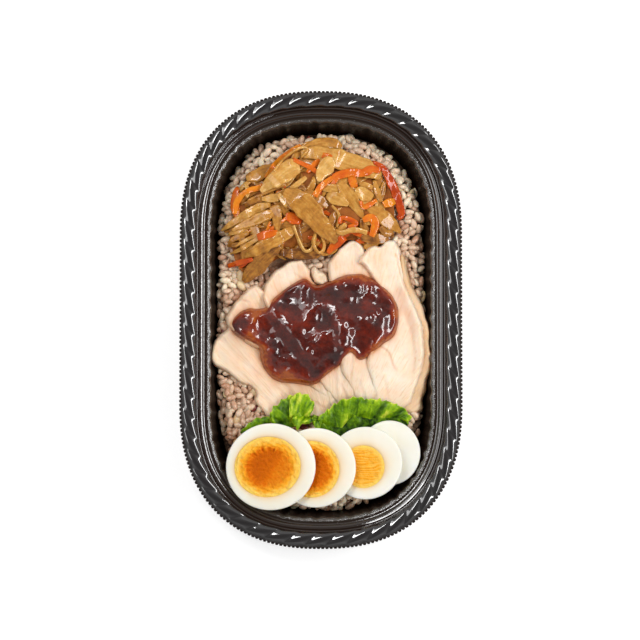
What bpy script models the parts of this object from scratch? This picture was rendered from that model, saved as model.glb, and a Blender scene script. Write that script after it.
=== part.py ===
"""A bento box meal: an open black tray with a rope-moulded rim, a bed of mixed-grain rice,
a heap of burdock and carrot strips, a fan of sliced chicken breast under a pool of sauce,
frilly lettuce, and four slices of a boiled egg.

Frame: +Z up, +Y along the tray towards the burdock, +X to the right of it, and the origin
at the middle of the tray's base. Sizes are in millimetres, and MM turns them into metres.
"""

import math

import bmesh
import bpy
import numpy as np
from mathutils import Vector
from mathutils.bvhtree import BVHTree

MM = 0.001
GAP = 0.35  # clearance between pieces that touch

# The tray's outline: straight sides joined by superellipse ends
TRAY_LENGTH = 228.6
TRAY_WIDTH = 141.0
END_DEPTH = 72.5
END_SQUARENESS = 2.35

# The tray's section, from the lip inwards
TRAY_HEIGHT = 32.0
SHEET = 0.6
LIP_Z = 27.2
FLANGE_WIDTH = 0.8
ROPE_INNER_INSET = 7.8
STEP_INSET = 11.4
WELL_EDGE_INSET = 15.2
WELL_EDGE_Z = 25.5
WALL_FOOT_INSET = 19.2
WALL_FOOT_Z = 4.5
FLOOR_INSET = 21.4

# The rope moulding
ROPE_STRANDS = 60
ROPE_TWIST = 0.66  # strand pitches that a ridge moves on while it crosses the band
ROPE_RELIEF = 0.65  # a ridge above, and a valley below, the band's mean height

# The food
RICE_TOP = 20.0
HEAP_HEIGHT = 11.5
SLICE_THICKNESS = 4.8
SLICE_END_THICKNESS = 3.0
FAN_PIVOT = (10, -52)
SAUCE_THICKNESS = 2.6
LEAF_THICKNESS = 1.2
FRILL_HEIGHT = 1.4
EGG_SLICE_THICKNESS = 4.4


# ---------------------------------------------------------------- outlines

def superellipse_outline():
    """The tray's outer edge, anticlockwise from the middle of its +X side."""
    steps = 960
    power = 2 / END_SQUARENESS
    half_straight = TRAY_LENGTH / 2 - END_DEPTH
    points = []
    for k in range(steps):
        angle = (k + 0.5) / steps * 2 * math.pi
        c, s = math.cos(angle), math.sin(angle)
        x = math.copysign(TRAY_WIDTH / 2 * abs(c) ** power, c)
        y = math.copysign(half_straight + END_DEPTH * abs(s) ** power, s)
        points.append(Vector((x, y)))
    return points


def smooth_outline(points, steps=12):
    """A closed Catmull-Rom curve through the points."""
    count = len(points)
    curve = []
    for k in range(count):
        a, b, c, d = (Vector(points[(k + i) % count]) for i in (-1, 0, 1, 2))
        for j in range(steps):
            t = j / steps
            curve.append(0.5 * (2 * b + (c - a) * t + (2 * a - 5 * b + 4 * c - d) * t * t
                                + (3 * b - a - 3 * c + d) * t ** 3))
    return curve


class Outline:
    """A closed outline, read by turn: 0 to 1 in equal lengths, anticlockwise."""

    def __init__(self, points):
        self.points = points
        closed = points + points[:1]
        steps = [(b - a).length for a, b in zip(closed, closed[1:])]
        self.reach = np.concatenate([[0.0], np.cumsum(steps)])
        self.xs = [p.x for p in closed]
        self.ys = [p.y for p in closed]
        spread = np.array([(p.x, p.y) for p in points])
        self.centre = Vector(spread.mean(axis=0))
        sizes, axes = np.linalg.eigh(np.cov(spread.T))
        self.axis = Vector(axes[:, 1])
        self.stretch = 1 - math.sqrt(sizes[0] / sizes[1])

    def at(self, turn):
        length = (turn % 1.0) * self.reach[-1]
        return Vector((np.interp(length, self.reach, self.xs), np.interp(length, self.reach, self.ys)))

    def inset(self, turn, distance):
        """The point at a turn, moved straight inwards."""
        step = 0.002
        along = (self.at(turn + step) - self.at(turn - step)).normalized()
        return self.at(turn) + distance * Vector((-along.y, along.x))

    def inwards(self, point, share):
        """A point moved a share of the way from the edge to the spine along the middle."""
        along = (point - self.centre).dot(self.axis)
        return point.lerp(self.centre + self.axis * along * self.stretch, share)

    def ring(self, columns, distance=0.0, share=0.0):
        edge = [self.inset(k / columns, distance) for k in range(columns)]
        return [self.inwards(point, share) for point in edge]


TRAY_EDGE = Outline(superellipse_outline())


def wall_inset(z):
    """How far in from the tray's edge the wall of the well stands at a height."""
    fall = (WELL_EDGE_Z - z) / (WELL_EDGE_Z - WALL_FOOT_Z)
    return WELL_EDGE_INSET + (WALL_FOOT_INSET - WELL_EDGE_INSET) * min(max(fall, 0.0), 1.0)


def off_the_wall(point, z, clearance=GAP):
    """A point moved inwards, where it has to be, to stand clear of the wall."""
    nearest = min(range(len(TRAY_EDGE.points)), key=lambda k: (TRAY_EDGE.points[k] - point).length)
    before = TRAY_EDGE.points[nearest - 1]
    after = TRAY_EDGE.points[(nearest + 1) % len(TRAY_EDGE.points)]
    along = (after - before).normalized()
    inward = Vector((-along.y, along.x))
    short = wall_inset(z) + clearance - (point - TRAY_EDGE.points[nearest]).dot(inward)
    return point + inward * max(short, 0.0)


# ---------------------------------------------------------------- making objects

def material(name, colour, roughness, metallic=0.0):
    made = bpy.data.materials.new(name)
    made.use_nodes = True
    shader = made.node_tree.nodes["Principled BSDF"]
    shader.inputs["Base Color"].default_value = (*colour, 1.0)
    shader.inputs["Roughness"].default_value = roughness
    shader.inputs["Metallic"].default_value = metallic
    return made


def add_object(name, bm, finish, collection=None):
    """An object of the meal, from a mesh in metres."""
    bmesh.ops.recalc_face_normals(bm, faces=bm.faces)
    mesh = bpy.data.meshes.new(name)
    bm.to_mesh(mesh)
    bm.free()
    mesh.materials.append(finish)
    made = bpy.data.objects.new(name, mesh)
    (collection or MEAL).objects.link(made)
    return made


def loft(rings, caps=True):
    """A surface through closed rings of equally many points, its two ends filled."""
    bm = bmesh.new()
    rows = [[bm.verts.new(Vector(point) * MM) for point in ring] for ring in rings]
    for lower, upper in zip(rows, rows[1:]):
        for k in range(len(lower)):
            n = (k + 1) % len(lower)
            bm.faces.new((lower[k], lower[n], upper[n], upper[k]))
    if caps:
        bm.faces.new(rows[0][::-1])
        bm.faces.new(rows[-1])
    bmesh.ops.triangulate(bm, faces=bm.faces)
    return bm


def world_mesh(made):
    """An object's finished mesh where it stands, as a search tree and its vertices."""
    depsgraph = bpy.context.evaluated_depsgraph_get()
    finished = made.evaluated_get(depsgraph)
    bm = bmesh.new()
    bm.from_mesh(finished.to_mesh())
    bm.transform(finished.matrix_world)
    tree = BVHTree.FromBMesh(bm)
    corners = [v.co.copy() for v in bm.verts]
    bm.free()
    return tree, corners


class Ground:
    """The height of whatever lies on top, on a grid of 1 mm cells over the tray."""

    def __init__(self):
        self.xs = np.arange(-75.0, 76.0)
        self.ys = np.arange(-118.0, 119.0)
        self.z = np.zeros((len(self.xs), len(self.ys)))

    def add(self, made):
        tree, _ = world_mesh(made)
        for i, x in enumerate(self.xs):
            for j, y in enumerate(self.ys):
                hit = tree.ray_cast(Vector((x, y, 100)) * MM, Vector((0, 0, -1)))[0]
                if hit is not None:
                    self.z[i, j] = max(self.z[i, j], hit.z / MM)

    def draped(self, slope, level=3):
        """The underside of something laid on the ground, which falls no faster than a slope.

        It stays level for a few millimetres round each high point.
        """
        z = self.z
        for _ in range(level):
            z = widened(z, 0.0)
        for _ in range(30):
            z = widened(z, slope)

        def underside(point):
            i = min(max(point.x - self.xs[0], 0), len(self.xs) - 2)
            j = min(max(point.y - self.ys[0], 0), len(self.ys) - 2)
            a, b = int(i), int(j)
            u, v = i - a, j - b
            low = z[a, b] * (1 - u) + z[a + 1, b] * u
            high = z[a, b + 1] * (1 - u) + z[a + 1, b + 1] * u
            return low * (1 - v) + high * v + GAP

        return underside


def widened(z, slope):
    """A height grid in which each cell reaches its neighbours' heights, less the slope's fall."""
    best = z
    for i in (-1, 0, 1):
        for j in (-1, 0, 1):
            best = np.maximum(best, np.roll(z, (i, j), axis=(0, 1)) - slope * math.hypot(i, j))
    return best


def clearance(pieces, carriers):
    """The least height between the pieces and the carriers under them, in metres."""
    least = math.inf
    for piece in pieces:
        tree, corners = world_mesh(piece)
        for carrier in carriers:
            under_tree, under_corners = world_mesh(carrier)
            for corner in corners:
                hit = under_tree.ray_cast(Vector((corner.x, corner.y, 1)), Vector((0, 0, -1)))[0]
                if hit is not None:
                    least = min(least, corner.z - hit.z)
            for corner in under_corners:
                hit = tree.ray_cast(Vector((corner.x, corner.y, -1)), Vector((0, 0, 1)))[0]
                if hit is not None:
                    least = min(least, hit.z - corner.z)
    return least


def set_down(mover, pieces, carriers):
    """Moves an object up or down until the pieces, which are it or its children, lie on the carriers."""
    bpy.context.view_layer.update()
    mover.location.z += GAP * MM - clearance(pieces, carriers)
    bpy.context.view_layer.update()


def lay(piece, ground, carriers):
    """Lays a piece on the carriers, and makes it part of the ground and of what carries the next."""
    set_down(piece, [piece], carriers)
    ground.add(piece)
    carriers.append(piece)


# ---------------------------------------------------------------- tray

def make_tray():
    """The tray's upper surface from the lip to the floor, thickened downwards."""
    columns = 2 * ROPE_STRANDS
    crest = TRAY_HEIGHT - ROPE_RELIEF
    ledge = WELL_EDGE_Z + 1.4
    # inset from the lip, height, share of the rope's relief, share of its twist
    section = [
        (0.0, LIP_Z, 0.0, 0.0),
        (FLANGE_WIDTH, LIP_Z + 0.2, 0.0, 0.0),
        (2.2, crest - 0.9, 1.0, 0.2),
        (5.2, crest, 1.0, 0.62),
        (ROPE_INNER_INSET, ledge + 0.3, 0.3, 1.0),
        (STEP_INSET - 0.4, ledge, 0.0, 1.0),
        (STEP_INSET + 0.3, ledge - 0.9, 0.0, 1.0),
        (WELL_EDGE_INSET, WELL_EDGE_Z, 0.0, 1.0),
        (WALL_FOOT_INSET, WALL_FOOT_Z, 0.0, 1.0),
        (FLOOR_INSET, SHEET, 0.0, 1.0),
    ]
    rings = []
    for inset, z, relief, twist in section:
        ring = []
        for k in range(columns):
            ridge = 1 if k % 2 == 0 else -1
            turn = (k + 2 * ROPE_TWIST * twist) / columns
            point = TRAY_EDGE.inset(turn, inset)
            ring.append((point.x, point.y, z + relief * ROPE_RELIEF * ridge))
        rings.append(ring)
    bm = loft(rings, caps=False)
    floor_edges = [e for e in bm.edges if e.is_boundary and e.verts[0].co.z < 2 * SHEET * MM]
    bmesh.ops.contextual_create(bm, geom=floor_edges)
    tray = add_object("tray", bm, material("tray_black", (0.02, 0.018, 0.017), 0.3))
    if max(tray.data.polygons, key=lambda face: face.area).normal.z < 0:
        tray.data.flip_normals()
    sheet = tray.modifiers.new("sheet", "SOLIDIFY")
    sheet.thickness = SHEET * MM
    sheet.offset = -1.0
    sheet.use_even_offset = True
    return tray


# ---------------------------------------------------------------- rice

def rice_height(point):
    """The top of the rice bed: uneven, banked up under the eggs on the left, pressed down by the last."""
    waves = 0.3 * math.sin(0.11 * point.x + 1) * math.cos(0.09 * point.y)
    bank = 3.6 * math.exp(-((point.x + 27) ** 2 + (point.y + 72) ** 2) / 450)
    dent = 2.2 * math.exp(-((point.x - 36) ** 2 + (point.y + 67) ** 2) / 260)
    return RICE_TOP + waves + bank - dent


def make_rice():
    """The rice bed, which fills the well's foot and stands back from its wall higher up."""
    edge = Outline(smooth_outline([
        (54, 0), (51, 14), (49, 28), (50, 42), (52, 53), (46, 61), (41, 71), (38, 79), (26, 87),
        (11, 90.5), (-12, 93), (-23, 90), (-36, 81), (-43, 72), (-48, 65), (-46, 52), (-52, 42),
        (-52, 22), (-49, 9), (-51, 0), (-54, -26), (-48, -42), (-49, -51), (-46, -61), (-39, -73),
        (-29, -84), (-12, -92), (12, -94), (27, -85), (38, -73), (45, -60), (50, -50), (53, -25),
    ]))
    columns = 48
    middle_z = 12.0
    foot = [
        (FLOOR_INSET + 1.0, SHEET + GAP),
        (WALL_FOOT_INSET + 0.8, WALL_FOOT_Z + 0.4),
        (wall_inset(middle_z) + 0.8, middle_z),
    ]
    rings = []
    for inset, z in foot:
        rings.append([(p.x, p.y, z) for p in TRAY_EDGE.ring(columns, inset)])
    # inset from the outline, share of the way to the spine, depth under the top
    for inset, share, depth in [(0.0, 0.0, 2.8), (1.6, 0.0, 0.6), (1.6, 0.35, 0.0), (1.6, 0.75, 0.0)]:
        ring = []
        for point in edge.ring(columns, inset, share):
            z = rice_height(point) - depth
            clear = off_the_wall(point, z, 0.8)
            ring.append((clear.x, clear.y, z))
        rings.append(ring)
    return add_object("rice", loft(rings), material("rice_grain", (0.62, 0.45, 0.34), 0.6))


# ---------------------------------------------------------------- burdock and carrot

def make_heap(ground):
    """The heap of burdock and carrot strips, with an uneven outline and a lumpy top."""
    edge = Outline(smooth_outline([
        (40, 48), (39, 59), (36, 69), (30, 77), (18, 83), (7, 91), (-4, 90), (-13, 87), (-21, 82),
        (-28, 76), (-38, 73), (-43, 65), (-44, 54), (-50, 45), (-46, 35), (-46, 27), (-39, 19),
        (-32, 19), (-22, 27.5), (-13, 30.5), (-5, 29), (1, 28.5), (8, 34.5), (15, 38), (22, 35.5),
        (32, 38),
    ]))
    underside = ground.draped(0.2)
    columns = 34
    # inset from the outline, share of the way to the spine, share of the heap's height
    section = [
        (1.2, 0.75, None), (1.2, 0.35, None), (1.2, 0.0, None),
        (0.0, 0.0, 0.14), (1.4, 0.0, 0.36), (1.4, 0.22, 0.66), (1.4, 0.48, 0.9), (1.4, 0.78, 1.0),
    ]
    rings = []
    for inset, share, rise in section:
        ring = []
        for point in edge.ring(columns, inset, share):
            z = underside(point)
            if rise is not None:
                lump = 1 + 0.16 * math.sin(0.5 * point.x + 0.9) * math.cos(0.43 * point.y + 0.4)
                z += HEAP_HEIGHT * rise * lump
            ring.append((point.x, point.y, z))
        rings.append(ring)
    return add_object("burdock_carrot_heap", loft(rings), material("burdock", (0.62, 0.33, 0.1), 0.4))


# ---------------------------------------------------------------- chicken

# Each slice's outline, from the left of the fan to the right. The side that lies under the
# next slice is hidden.
CHICKEN_SLICES = {
    1: [(-48, -1.5), (-53.5, -8), (-54.5, -15), (-53.5, -21), (-50, -26.5), (-39, -32.5),
        (-34.5, -39), (-32.5, -44), (-28, -48), (-17, -50), (-4, -49.5), (0, -44), (-6, -33),
        (-22, -18), (-35, -6)],
    2: [(-46.5, 7.5), (-40.5, 17), (-33.5, 19.2), (-28, 15), (-20, 3), (-6, -15), (6, -33),
        (11, -43), (5, -46), (-8, -32), (-20, -23), (-33, -16), (-44, -9.5), (-48, -0.5)],
    3: [(-30, 17), (-27, 22), (-20, 31), (-13, 33), (-9, 31.5), (-5, 25), (4, 14), (10, 0),
        (16, -18), (21, -38), (17, -45), (10, -44), (2, -33), (-10, -19), (-22, -4), (-29, 8)],
    4: [(3.2, 29), (5, 33), (9.5, 37), (14.5, 41), (19, 41), (23, 37), (29, 28), (34, 14),
        (34, 0), (32, -18), (31, -38), (24, -45), (17, -39), (10, -26), (7, -8), (4, 12)],
    5: [(18, 33.5), (23.5, 38), (32, 40), (38, 43), (43, 39), (46, 25), (48.5, 8), (50, -12),
        (49.5, -30), (46, -43), (36, -46), (27, -38), (23.5, -22), (26, -6), (31, 10), (25, 24)],
    6: [(42.5, 37.5), (45.2, 29), (47, 16), (51, 6), (53.8, -4), (54.5, -18), (53.5, -32),
        (51.5, -40), (52, -44), (47, -47), (44.5, -43), (45.5, -30), (45.5, -12), (43, 6),
        (41, 24)],
}


def slice_thickness(point):
    """A slice thins towards its end at the fan's pivot."""
    share = min((point - Vector(FAN_PIVOT)).length / 50, 1.0)
    return SLICE_END_THICKNESS + (SLICE_THICKNESS - SLICE_END_THICKNESS) * share


def make_chicken_slice(number, ground, finish):
    edge = Outline(smooth_outline(CHICKEN_SLICES[number]))
    underside = ground.draped(0.7, level=4)
    columns = 24
    # inset from the outline, share of the way to the spine, share of the thickness
    section = [
        (0.7, 0.62, 0.0), (0.7, 0.25, 0.0), (0.7, 0.0, 0.0), (0.0, 0.0, 0.25),
        (0.9, 0.0, 0.65), (0.9, 0.25, 1.0), (0.9, 0.62, 1.1),
    ]
    rings = []
    for inset, share, rise in section:
        ring = []
        for point in edge.ring(columns, inset, share):
            floor = underside(point)
            clear = off_the_wall(point, floor)
            ring.append((clear.x, clear.y, floor + rise * slice_thickness(point)))
        rings.append(ring)
    return add_object(f"chicken_slice_{number}", loft(rings), finish)


def make_shred(finish):
    """A torn scrap of meat between the third and fourth slices."""
    bm = bmesh.new()
    bmesh.ops.create_icosphere(bm, subdivisions=2, radius=1.0)
    bmesh.ops.scale(bm, vec=Vector((4.2, 3.4, 1.8)) * MM, verts=bm.verts)
    shred = add_object("chicken_shred", bm, finish)
    shred.location = Vector((-1.0, 26.5, 40)) * MM
    shred.rotation_euler = (0.0, 0.0, math.radians(-40))
    return shred


def make_sauce(ground):
    """The pool of sauce, which follows the slices beneath it."""
    edge = Outline(smooth_outline([
        (38.5, -1), (37, 8), (30, 16.5), (21, 22), (13, 22), (4, 18.8), (-2.7, 17.2), (-8, 20.5),
        (-17.3, 15), (-23.4, 10.5), (-28, 5.4), (-36.4, 5), (-42, 2), (-45.2, -3), (-42, -8),
        (-31.5, -14.5), (-30, -20), (-27.5, -26), (-21, -31), (-12, -32), (-3, -32.3), (3.3, -27),
        (9, -23), (14.5, -17), (19.5, -20.3), (25.5, -17), (31, -12), (36.5, -8),
    ]))
    underside = ground.draped(0.7, level=4)
    columns = 40
    section = [
        (1.0, 0.7, 0.0), (1.0, 0.35, 0.0), (1.0, 0.0, 0.0), (0.0, 0.0, 0.3),
        (1.2, 0.0, 0.75), (1.2, 0.3, 1.0), (1.2, 0.7, 1.0),
    ]
    rings = []
    for inset, share, rise in section:
        ring = edge.ring(columns, inset, share)
        rings.append([(p.x, p.y, underside(p) + rise * SAUCE_THICKNESS) for p in ring])
    return add_object("sauce", loft(rings), material("sauce_dark", (0.12, 0.02, 0.01), 0.15))


# ---------------------------------------------------------------- lettuce

LETTUCE = {
    "lettuce_left": [(-25.5, -50), (-30, -49.2), (-35.5, -51), (-40.5, -56), (-36, -56), (-30, -53),
                     (-25.5, -52)],
    "lettuce_middle": [(-1.5, -52), (-4, -47), (-4.2, -42), (-7.5, -39), (-12, -37.5), (-19, -41.5),
                       (-24, -47), (-24, -51.5), (-14, -53), (-5, -54.5)],
    "lettuce_right": [(44.5, -48.5), (40.5, -44), (34, -41.5), (29, -40), (20, -39.5), (9.5, -41),
                      (3.5, -45.5), (-0.5, -50), (2, -54), (9, -56), (18, -53.5), (28, -51.5),
                      (37, -50), (43, -52.5)],
}


def make_leaf(name, ground, finish):
    """A piece of leaf that lies on the ends of the chicken, with a frilled edge."""
    edge = Outline(smooth_outline(LETTUCE[name]))
    underside = ground.draped(1.6, level=2)
    columns = 24
    # inset from the outline, share of the way to the spine, share of the thickness
    section = [(0.8, 0.5, 0.0), (0.8, 0.0, 0.0), (0.0, 0.0, 0.5), (0.8, 0.0, 1.0), (0.8, 0.5, 2.0)]
    rings = []
    for inset, share, rise in section:
        ring = []
        for k, point in enumerate(edge.ring(columns, inset, share)):
            frill = FRILL_HEIGHT * (k % 2) * (1 - share)
            ring.append((point.x, point.y, underside(point) + frill + rise * LEAF_THICKNESS))
        rings.append(ring)
    return add_object(name, loft(rings), finish)


# ---------------------------------------------------------------- egg

EGG_SEGMENTS = 22
EDGE_BEVEL = 0.5
YOLK_TAPER = 0.6
DROP_HEIGHT = 60  # each slice is set down from here

# Each slice's centre, radius, how much less its lower face's radius is, its yolk's place and
# radii, and its tilt in degrees about Y, from the right of the row to the left
EGG_SLICES = {
    3: {"centre": (22.6, -71.6), "radius": 18.2, "taper": 1.9,
        "yolk_at": (-0.9, -1.8), "yolk": (10.6, 10.6), "tilt": -9},
    2: {"centre": (-2.2, -73.9), "radius": 19.9, "taper": 1.3,
        "yolk_at": (-1.9, -0.7), "yolk": (14.1, 14.1), "tilt": -9},
    1: {"centre": (-24.4, -73.4), "radius": 21.7, "taper": 0.8,
        "yolk_at": (-1.4, -0.1), "yolk": (16.6, 15.0), "tilt": -8},
}
EGG_PITCH = 1  # tilt in degrees about X
EGG_CAP = {"centre": (34.5, -66.0), "radius": 15.5, "depth": 5.5, "tilt": -3}


def disc(radii, taper, low, high):
    """A mesh of a flat round piece between two heights, whose lower face is smaller by the taper."""
    bm = bmesh.new()
    bmesh.ops.create_cone(bm, cap_ends=True, segments=EGG_SEGMENTS, radius1=1 - taper / radii[0],
                          radius2=1.0, depth=(high - low) * MM)
    bmesh.ops.scale(bm, vec=Vector((radii[0] * MM, radii[1] * MM, 1)), verts=bm.verts)
    bmesh.ops.translate(bm, vec=Vector((0, 0, (low + high) / 2 * MM)), verts=bm.verts)
    return bm


def make_egg_slice(number, white_finish, yolk_finish, carriers):
    """A slice of the egg: a round of white with a round of yolk through it."""
    shape = EGG_SLICES[number]
    radius = shape["radius"]
    body = disc((radius, radius), shape["taper"], 0, EGG_SLICE_THICKNESS)
    white = add_object(f"egg_white_{number}", body, white_finish)
    body = disc(shape["yolk"], YOLK_TAPER, 0, EGG_SLICE_THICKNESS)
    yolk = add_object(f"egg_yolk_{number}", body, yolk_finish)
    past = EGG_SLICE_THICKNESS
    body = disc([r + GAP for r in shape["yolk"]], YOLK_TAPER, -past, EGG_SLICE_THICKNESS + past)
    hole = add_object(f"yolk_hole_{number}", body, yolk_finish, CUTTERS)
    hole.hide_render = True
    hole.display_type = "WIRE"

    edge = white.modifiers.new("edge", "BEVEL")
    edge.width = EDGE_BEVEL * MM
    edge.segments = 1
    edge.limit_method = "ANGLE"
    cut = white.modifiers.new("yolk_hole", "BOOLEAN")
    cut.operation = "DIFFERENCE"
    cut.object = hole

    centre = bpy.data.objects.new(f"egg_slice_{number}", None)
    MEAL.objects.link(centre)
    centre.location = Vector((*shape["centre"], DROP_HEIGHT)) * MM
    centre.rotation_euler = (math.radians(EGG_PITCH), math.radians(shape["tilt"]), 0.0)
    for piece in (white, yolk, hole):
        piece.parent = centre
    for piece in (yolk, hole):
        piece.location = Vector((*shape["yolk_at"], 0)) * MM
    set_down(centre, [white, yolk], carriers)
    return [white, yolk]


def make_egg_cap(finish):
    """The egg's end: a shallow dome of white with its cut face up."""
    radius, depth = EGG_CAP["radius"], EGG_CAP["depth"]
    ball = (radius ** 2 + depth ** 2) / (2 * depth)
    bm = bmesh.new()
    bmesh.ops.create_uvsphere(bm, u_segments=EGG_SEGMENTS, v_segments=EGG_SEGMENTS, radius=ball * MM)
    everything = list(bm.verts) + list(bm.edges) + list(bm.faces)
    cut_plane = Vector((0, 0, (depth - ball) * MM))
    bmesh.ops.bisect_plane(bm, geom=everything, plane_co=cut_plane, plane_no=(0, 0, 1), clear_outer=True)
    bmesh.ops.holes_fill(bm, edges=[e for e in bm.edges if e.is_boundary], sides=0)
    cap = add_object("egg_white_4", bm, finish)
    cap.location = Vector((*EGG_CAP["centre"], DROP_HEIGHT)) * MM
    cap.rotation_euler = (0.0, math.radians(EGG_CAP["tilt"]), 0.0)
    return cap


def make_egg(carriers):
    """Four slices in a row, each laid on the edge of the smaller one to its right."""
    white_finish = material("egg_white", (0.9, 0.88, 0.8), 0.35)
    yolk_finish = material("egg_yolk", (0.85, 0.42, 0.05), 0.5)
    cap = make_egg_cap(white_finish)
    set_down(cap, [cap], carriers)
    carriers.append(cap)
    for number in EGG_SLICES:
        carriers += make_egg_slice(number, white_finish, yolk_finish, carriers)


# ---------------------------------------------------------------- the meal

for old in list(bpy.data.objects):
    bpy.data.objects.remove(old)
MEAL = bpy.data.collections.new("bento_box_meal")
CUTTERS = bpy.data.collections.new("cutters")
for collection in (MEAL, CUTTERS):
    bpy.context.scene.collection.children.link(collection)

tray = make_tray()
ground = Ground()
rice = make_rice()
ground.add(rice)
laid = [rice]
lay(make_heap(ground), ground, laid)
meat = material("chicken_meat", (0.86, 0.68, 0.5), 0.5)
for number in (1, 2, 3, 4, 6, 5):
    lay(make_chicken_slice(number, ground, meat), ground, laid)
lay(make_shred(meat), ground, laid)
lay(make_sauce(ground), ground, laid)
leaf_green = material("lettuce_leaf", (0.2, 0.42, 0.03), 0.45)
for name in LETTUCE:
    lay(make_leaf(name, ground, leaf_green), ground, laid)
make_egg([tray, *laid])
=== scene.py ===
import math
import random

import bmesh
import bpy
import numpy as np
from mathutils import Matrix, Vector
from mathutils.bvhtree import BVHTree


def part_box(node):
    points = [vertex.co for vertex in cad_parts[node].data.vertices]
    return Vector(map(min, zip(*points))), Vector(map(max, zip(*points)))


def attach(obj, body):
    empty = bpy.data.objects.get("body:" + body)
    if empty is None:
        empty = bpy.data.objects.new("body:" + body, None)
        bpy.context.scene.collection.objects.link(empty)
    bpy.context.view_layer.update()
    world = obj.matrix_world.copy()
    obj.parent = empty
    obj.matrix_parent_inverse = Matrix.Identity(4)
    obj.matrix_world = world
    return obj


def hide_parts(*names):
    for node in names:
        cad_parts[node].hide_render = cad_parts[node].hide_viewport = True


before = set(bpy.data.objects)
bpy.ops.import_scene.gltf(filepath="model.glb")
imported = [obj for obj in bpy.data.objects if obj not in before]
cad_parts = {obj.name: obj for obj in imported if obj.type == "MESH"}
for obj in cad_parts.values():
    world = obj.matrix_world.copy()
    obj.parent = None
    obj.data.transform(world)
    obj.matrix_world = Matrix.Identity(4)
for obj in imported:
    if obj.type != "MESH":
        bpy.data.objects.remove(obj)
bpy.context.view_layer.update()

# The looks of a bento box meal: a black moulded tray of mixed-grain rice with burdock and
# carrot strips, sliced chicken under thick sauce, lettuce and boiled egg. Sizes are in
# millimetres, and MM turns them into metres.

MM = 0.001
CHANCE = random.Random(7)


# ---------------------------------------------------------------- working on a piece

def deselect():
    if bpy.context.object and bpy.context.object.mode != "OBJECT":
        bpy.ops.object.mode_set(mode="OBJECT")
    bpy.ops.object.select_all(action="DESELECT")


def choose(piece):
    deselect()
    piece.select_set(True)
    bpy.context.view_layer.objects.active = piece


def modify(piece, kind, **settings):
    """Adds a modifier to the piece and applies it."""
    choose(piece)
    modifier = piece.modifiers.new(kind.lower(), kind)
    for name, value in settings.items():
        setattr(modifier, name, value)
    bpy.ops.object.modifier_apply(modifier=modifier.name)


def set_place(piece):
    """Puts the piece's place, turn and size into its mesh."""
    choose(piece)
    bpy.ops.object.transform_apply(location=True, rotation=True, scale=True)


def points_of(piece):
    co = np.empty(len(piece.data.vertices) * 3)
    piece.data.vertices.foreach_get("co", co)
    return co.reshape(-1, 3) / MM


def normals_of(piece):
    normals = np.empty(len(piece.data.vertices) * 3, np.float32)
    piece.data.vertex_normals.foreach_get("vector", normals)
    return normals.reshape(-1, 3).astype(float)


def set_points(piece, points):
    piece.data.vertices.foreach_set("co", (points * MM).ravel())
    piece.data.update()


def mark(piece, name, values):
    """Keeps a number for each of the piece's points, which its material reads."""
    layer = piece.data.attributes.get(name) or piece.data.attributes.new(name, "FLOAT", "POINT")
    layer.data.foreach_set("value", np.broadcast_to(values, len(piece.data.vertices)).astype(np.float32))


def copy_of(node, name):
    """A copy of a CAD node to work on, its corners merged and its faces mostly four-sided."""
    piece = bpy.data.objects.new(name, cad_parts[node].data.copy())
    bpy.context.scene.collection.objects.link(piece)
    piece.data.materials.clear()
    choose(piece)
    bpy.ops.object.mode_set(mode="EDIT")
    bpy.ops.mesh.select_all(action="SELECT")
    bpy.ops.mesh.remove_doubles(threshold=1e-5)
    bpy.ops.mesh.tris_convert_to_quads()
    bpy.ops.object.mode_set(mode="OBJECT")
    bpy.ops.mesh.customdata_custom_splitnormals_clear()
    return piece


def joined(pieces, name):
    """The pieces as one."""
    deselect()
    for piece in pieces:
        piece.select_set(True)
    bpy.context.view_layer.objects.active = pieces[0]
    bpy.ops.object.join()
    pieces[0].name = name
    return pieces[0]


def soften(piece, voxel, rounds):
    """Turns a faceted copy into an even, rounded skin."""
    modify(piece, "SUBSURF", levels=2, render_levels=2)
    modify(piece, "REMESH", mode="VOXEL", voxel_size=voxel * MM)
    modify(piece, "SMOOTH", factor=0.5, iterations=rounds)


def done(piece, finish, slot, *nodes):
    """The last steps on a piece: smooth shading, its finish, its body and the nodes it stands for, which it
    hides. The slot is not used.
    """
    choose(piece)
    bpy.ops.object.shade_smooth()
    piece.data.materials.clear()
    piece.data.materials.append(finish)
    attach(piece, "root")
    if nodes:
        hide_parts(*nodes)
    deselect()
    return piece


def lumps(points, size, seed=0):
    """Smooth noise from -1 to 1 at the points, whose lumps are about size wide."""
    spot = points / np.asarray(size, float) + seed * 17.31
    cell = np.floor(spot).astype(np.int64)
    part = spot - cell
    part = part * part * (3 - 2 * part)
    total = np.zeros(len(spot))
    for corner in range(8):
        offset = np.array([corner & 1, corner >> 1 & 1, corner >> 2 & 1])
        c = cell + offset
        key = (c[:, 0] * 73856093) ^ (c[:, 1] * 19349663) ^ (c[:, 2] * 83492791)
        key = (key ^ (key >> 13)) * 1274126177
        value = ((key ^ (key >> 16)) & 0xFFFF) / 32767.5 - 1
        total += value * np.prod(np.where(offset, part, 1 - part), axis=1)
    return total


def eased(value, low, high):
    """0 below low, 1 above high and a smooth rise between."""
    t = np.clip((value - low) / (high - low), 0, 1)
    return t * t * (3 - 2 * t)


def curve_through(line, step):
    """Rows of numbers along a smooth curve through the given rows, about a step apart."""
    rows = np.array(line, float)
    padded = np.vstack([2 * rows[0] - rows[1], rows, 2 * rows[-1] - rows[-2]])
    found = []
    for a, b, c, d in zip(padded, padded[1:], padded[2:], padded[3:]):
        count = max(int(math.ceil(np.hypot(*(c - b)[:2]) / step)), 1)
        for k in range(count):
            t = k / count
            found.append(0.5 * (2 * b + (c - a) * t + (2 * a - 5 * b + 4 * c - d) * t * t
                                + (3 * b - a - 3 * c + d) * t ** 3))
    found.append(rows[-1])
    return np.array(found)


# ---------------------------------------------------------------- heights

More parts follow.
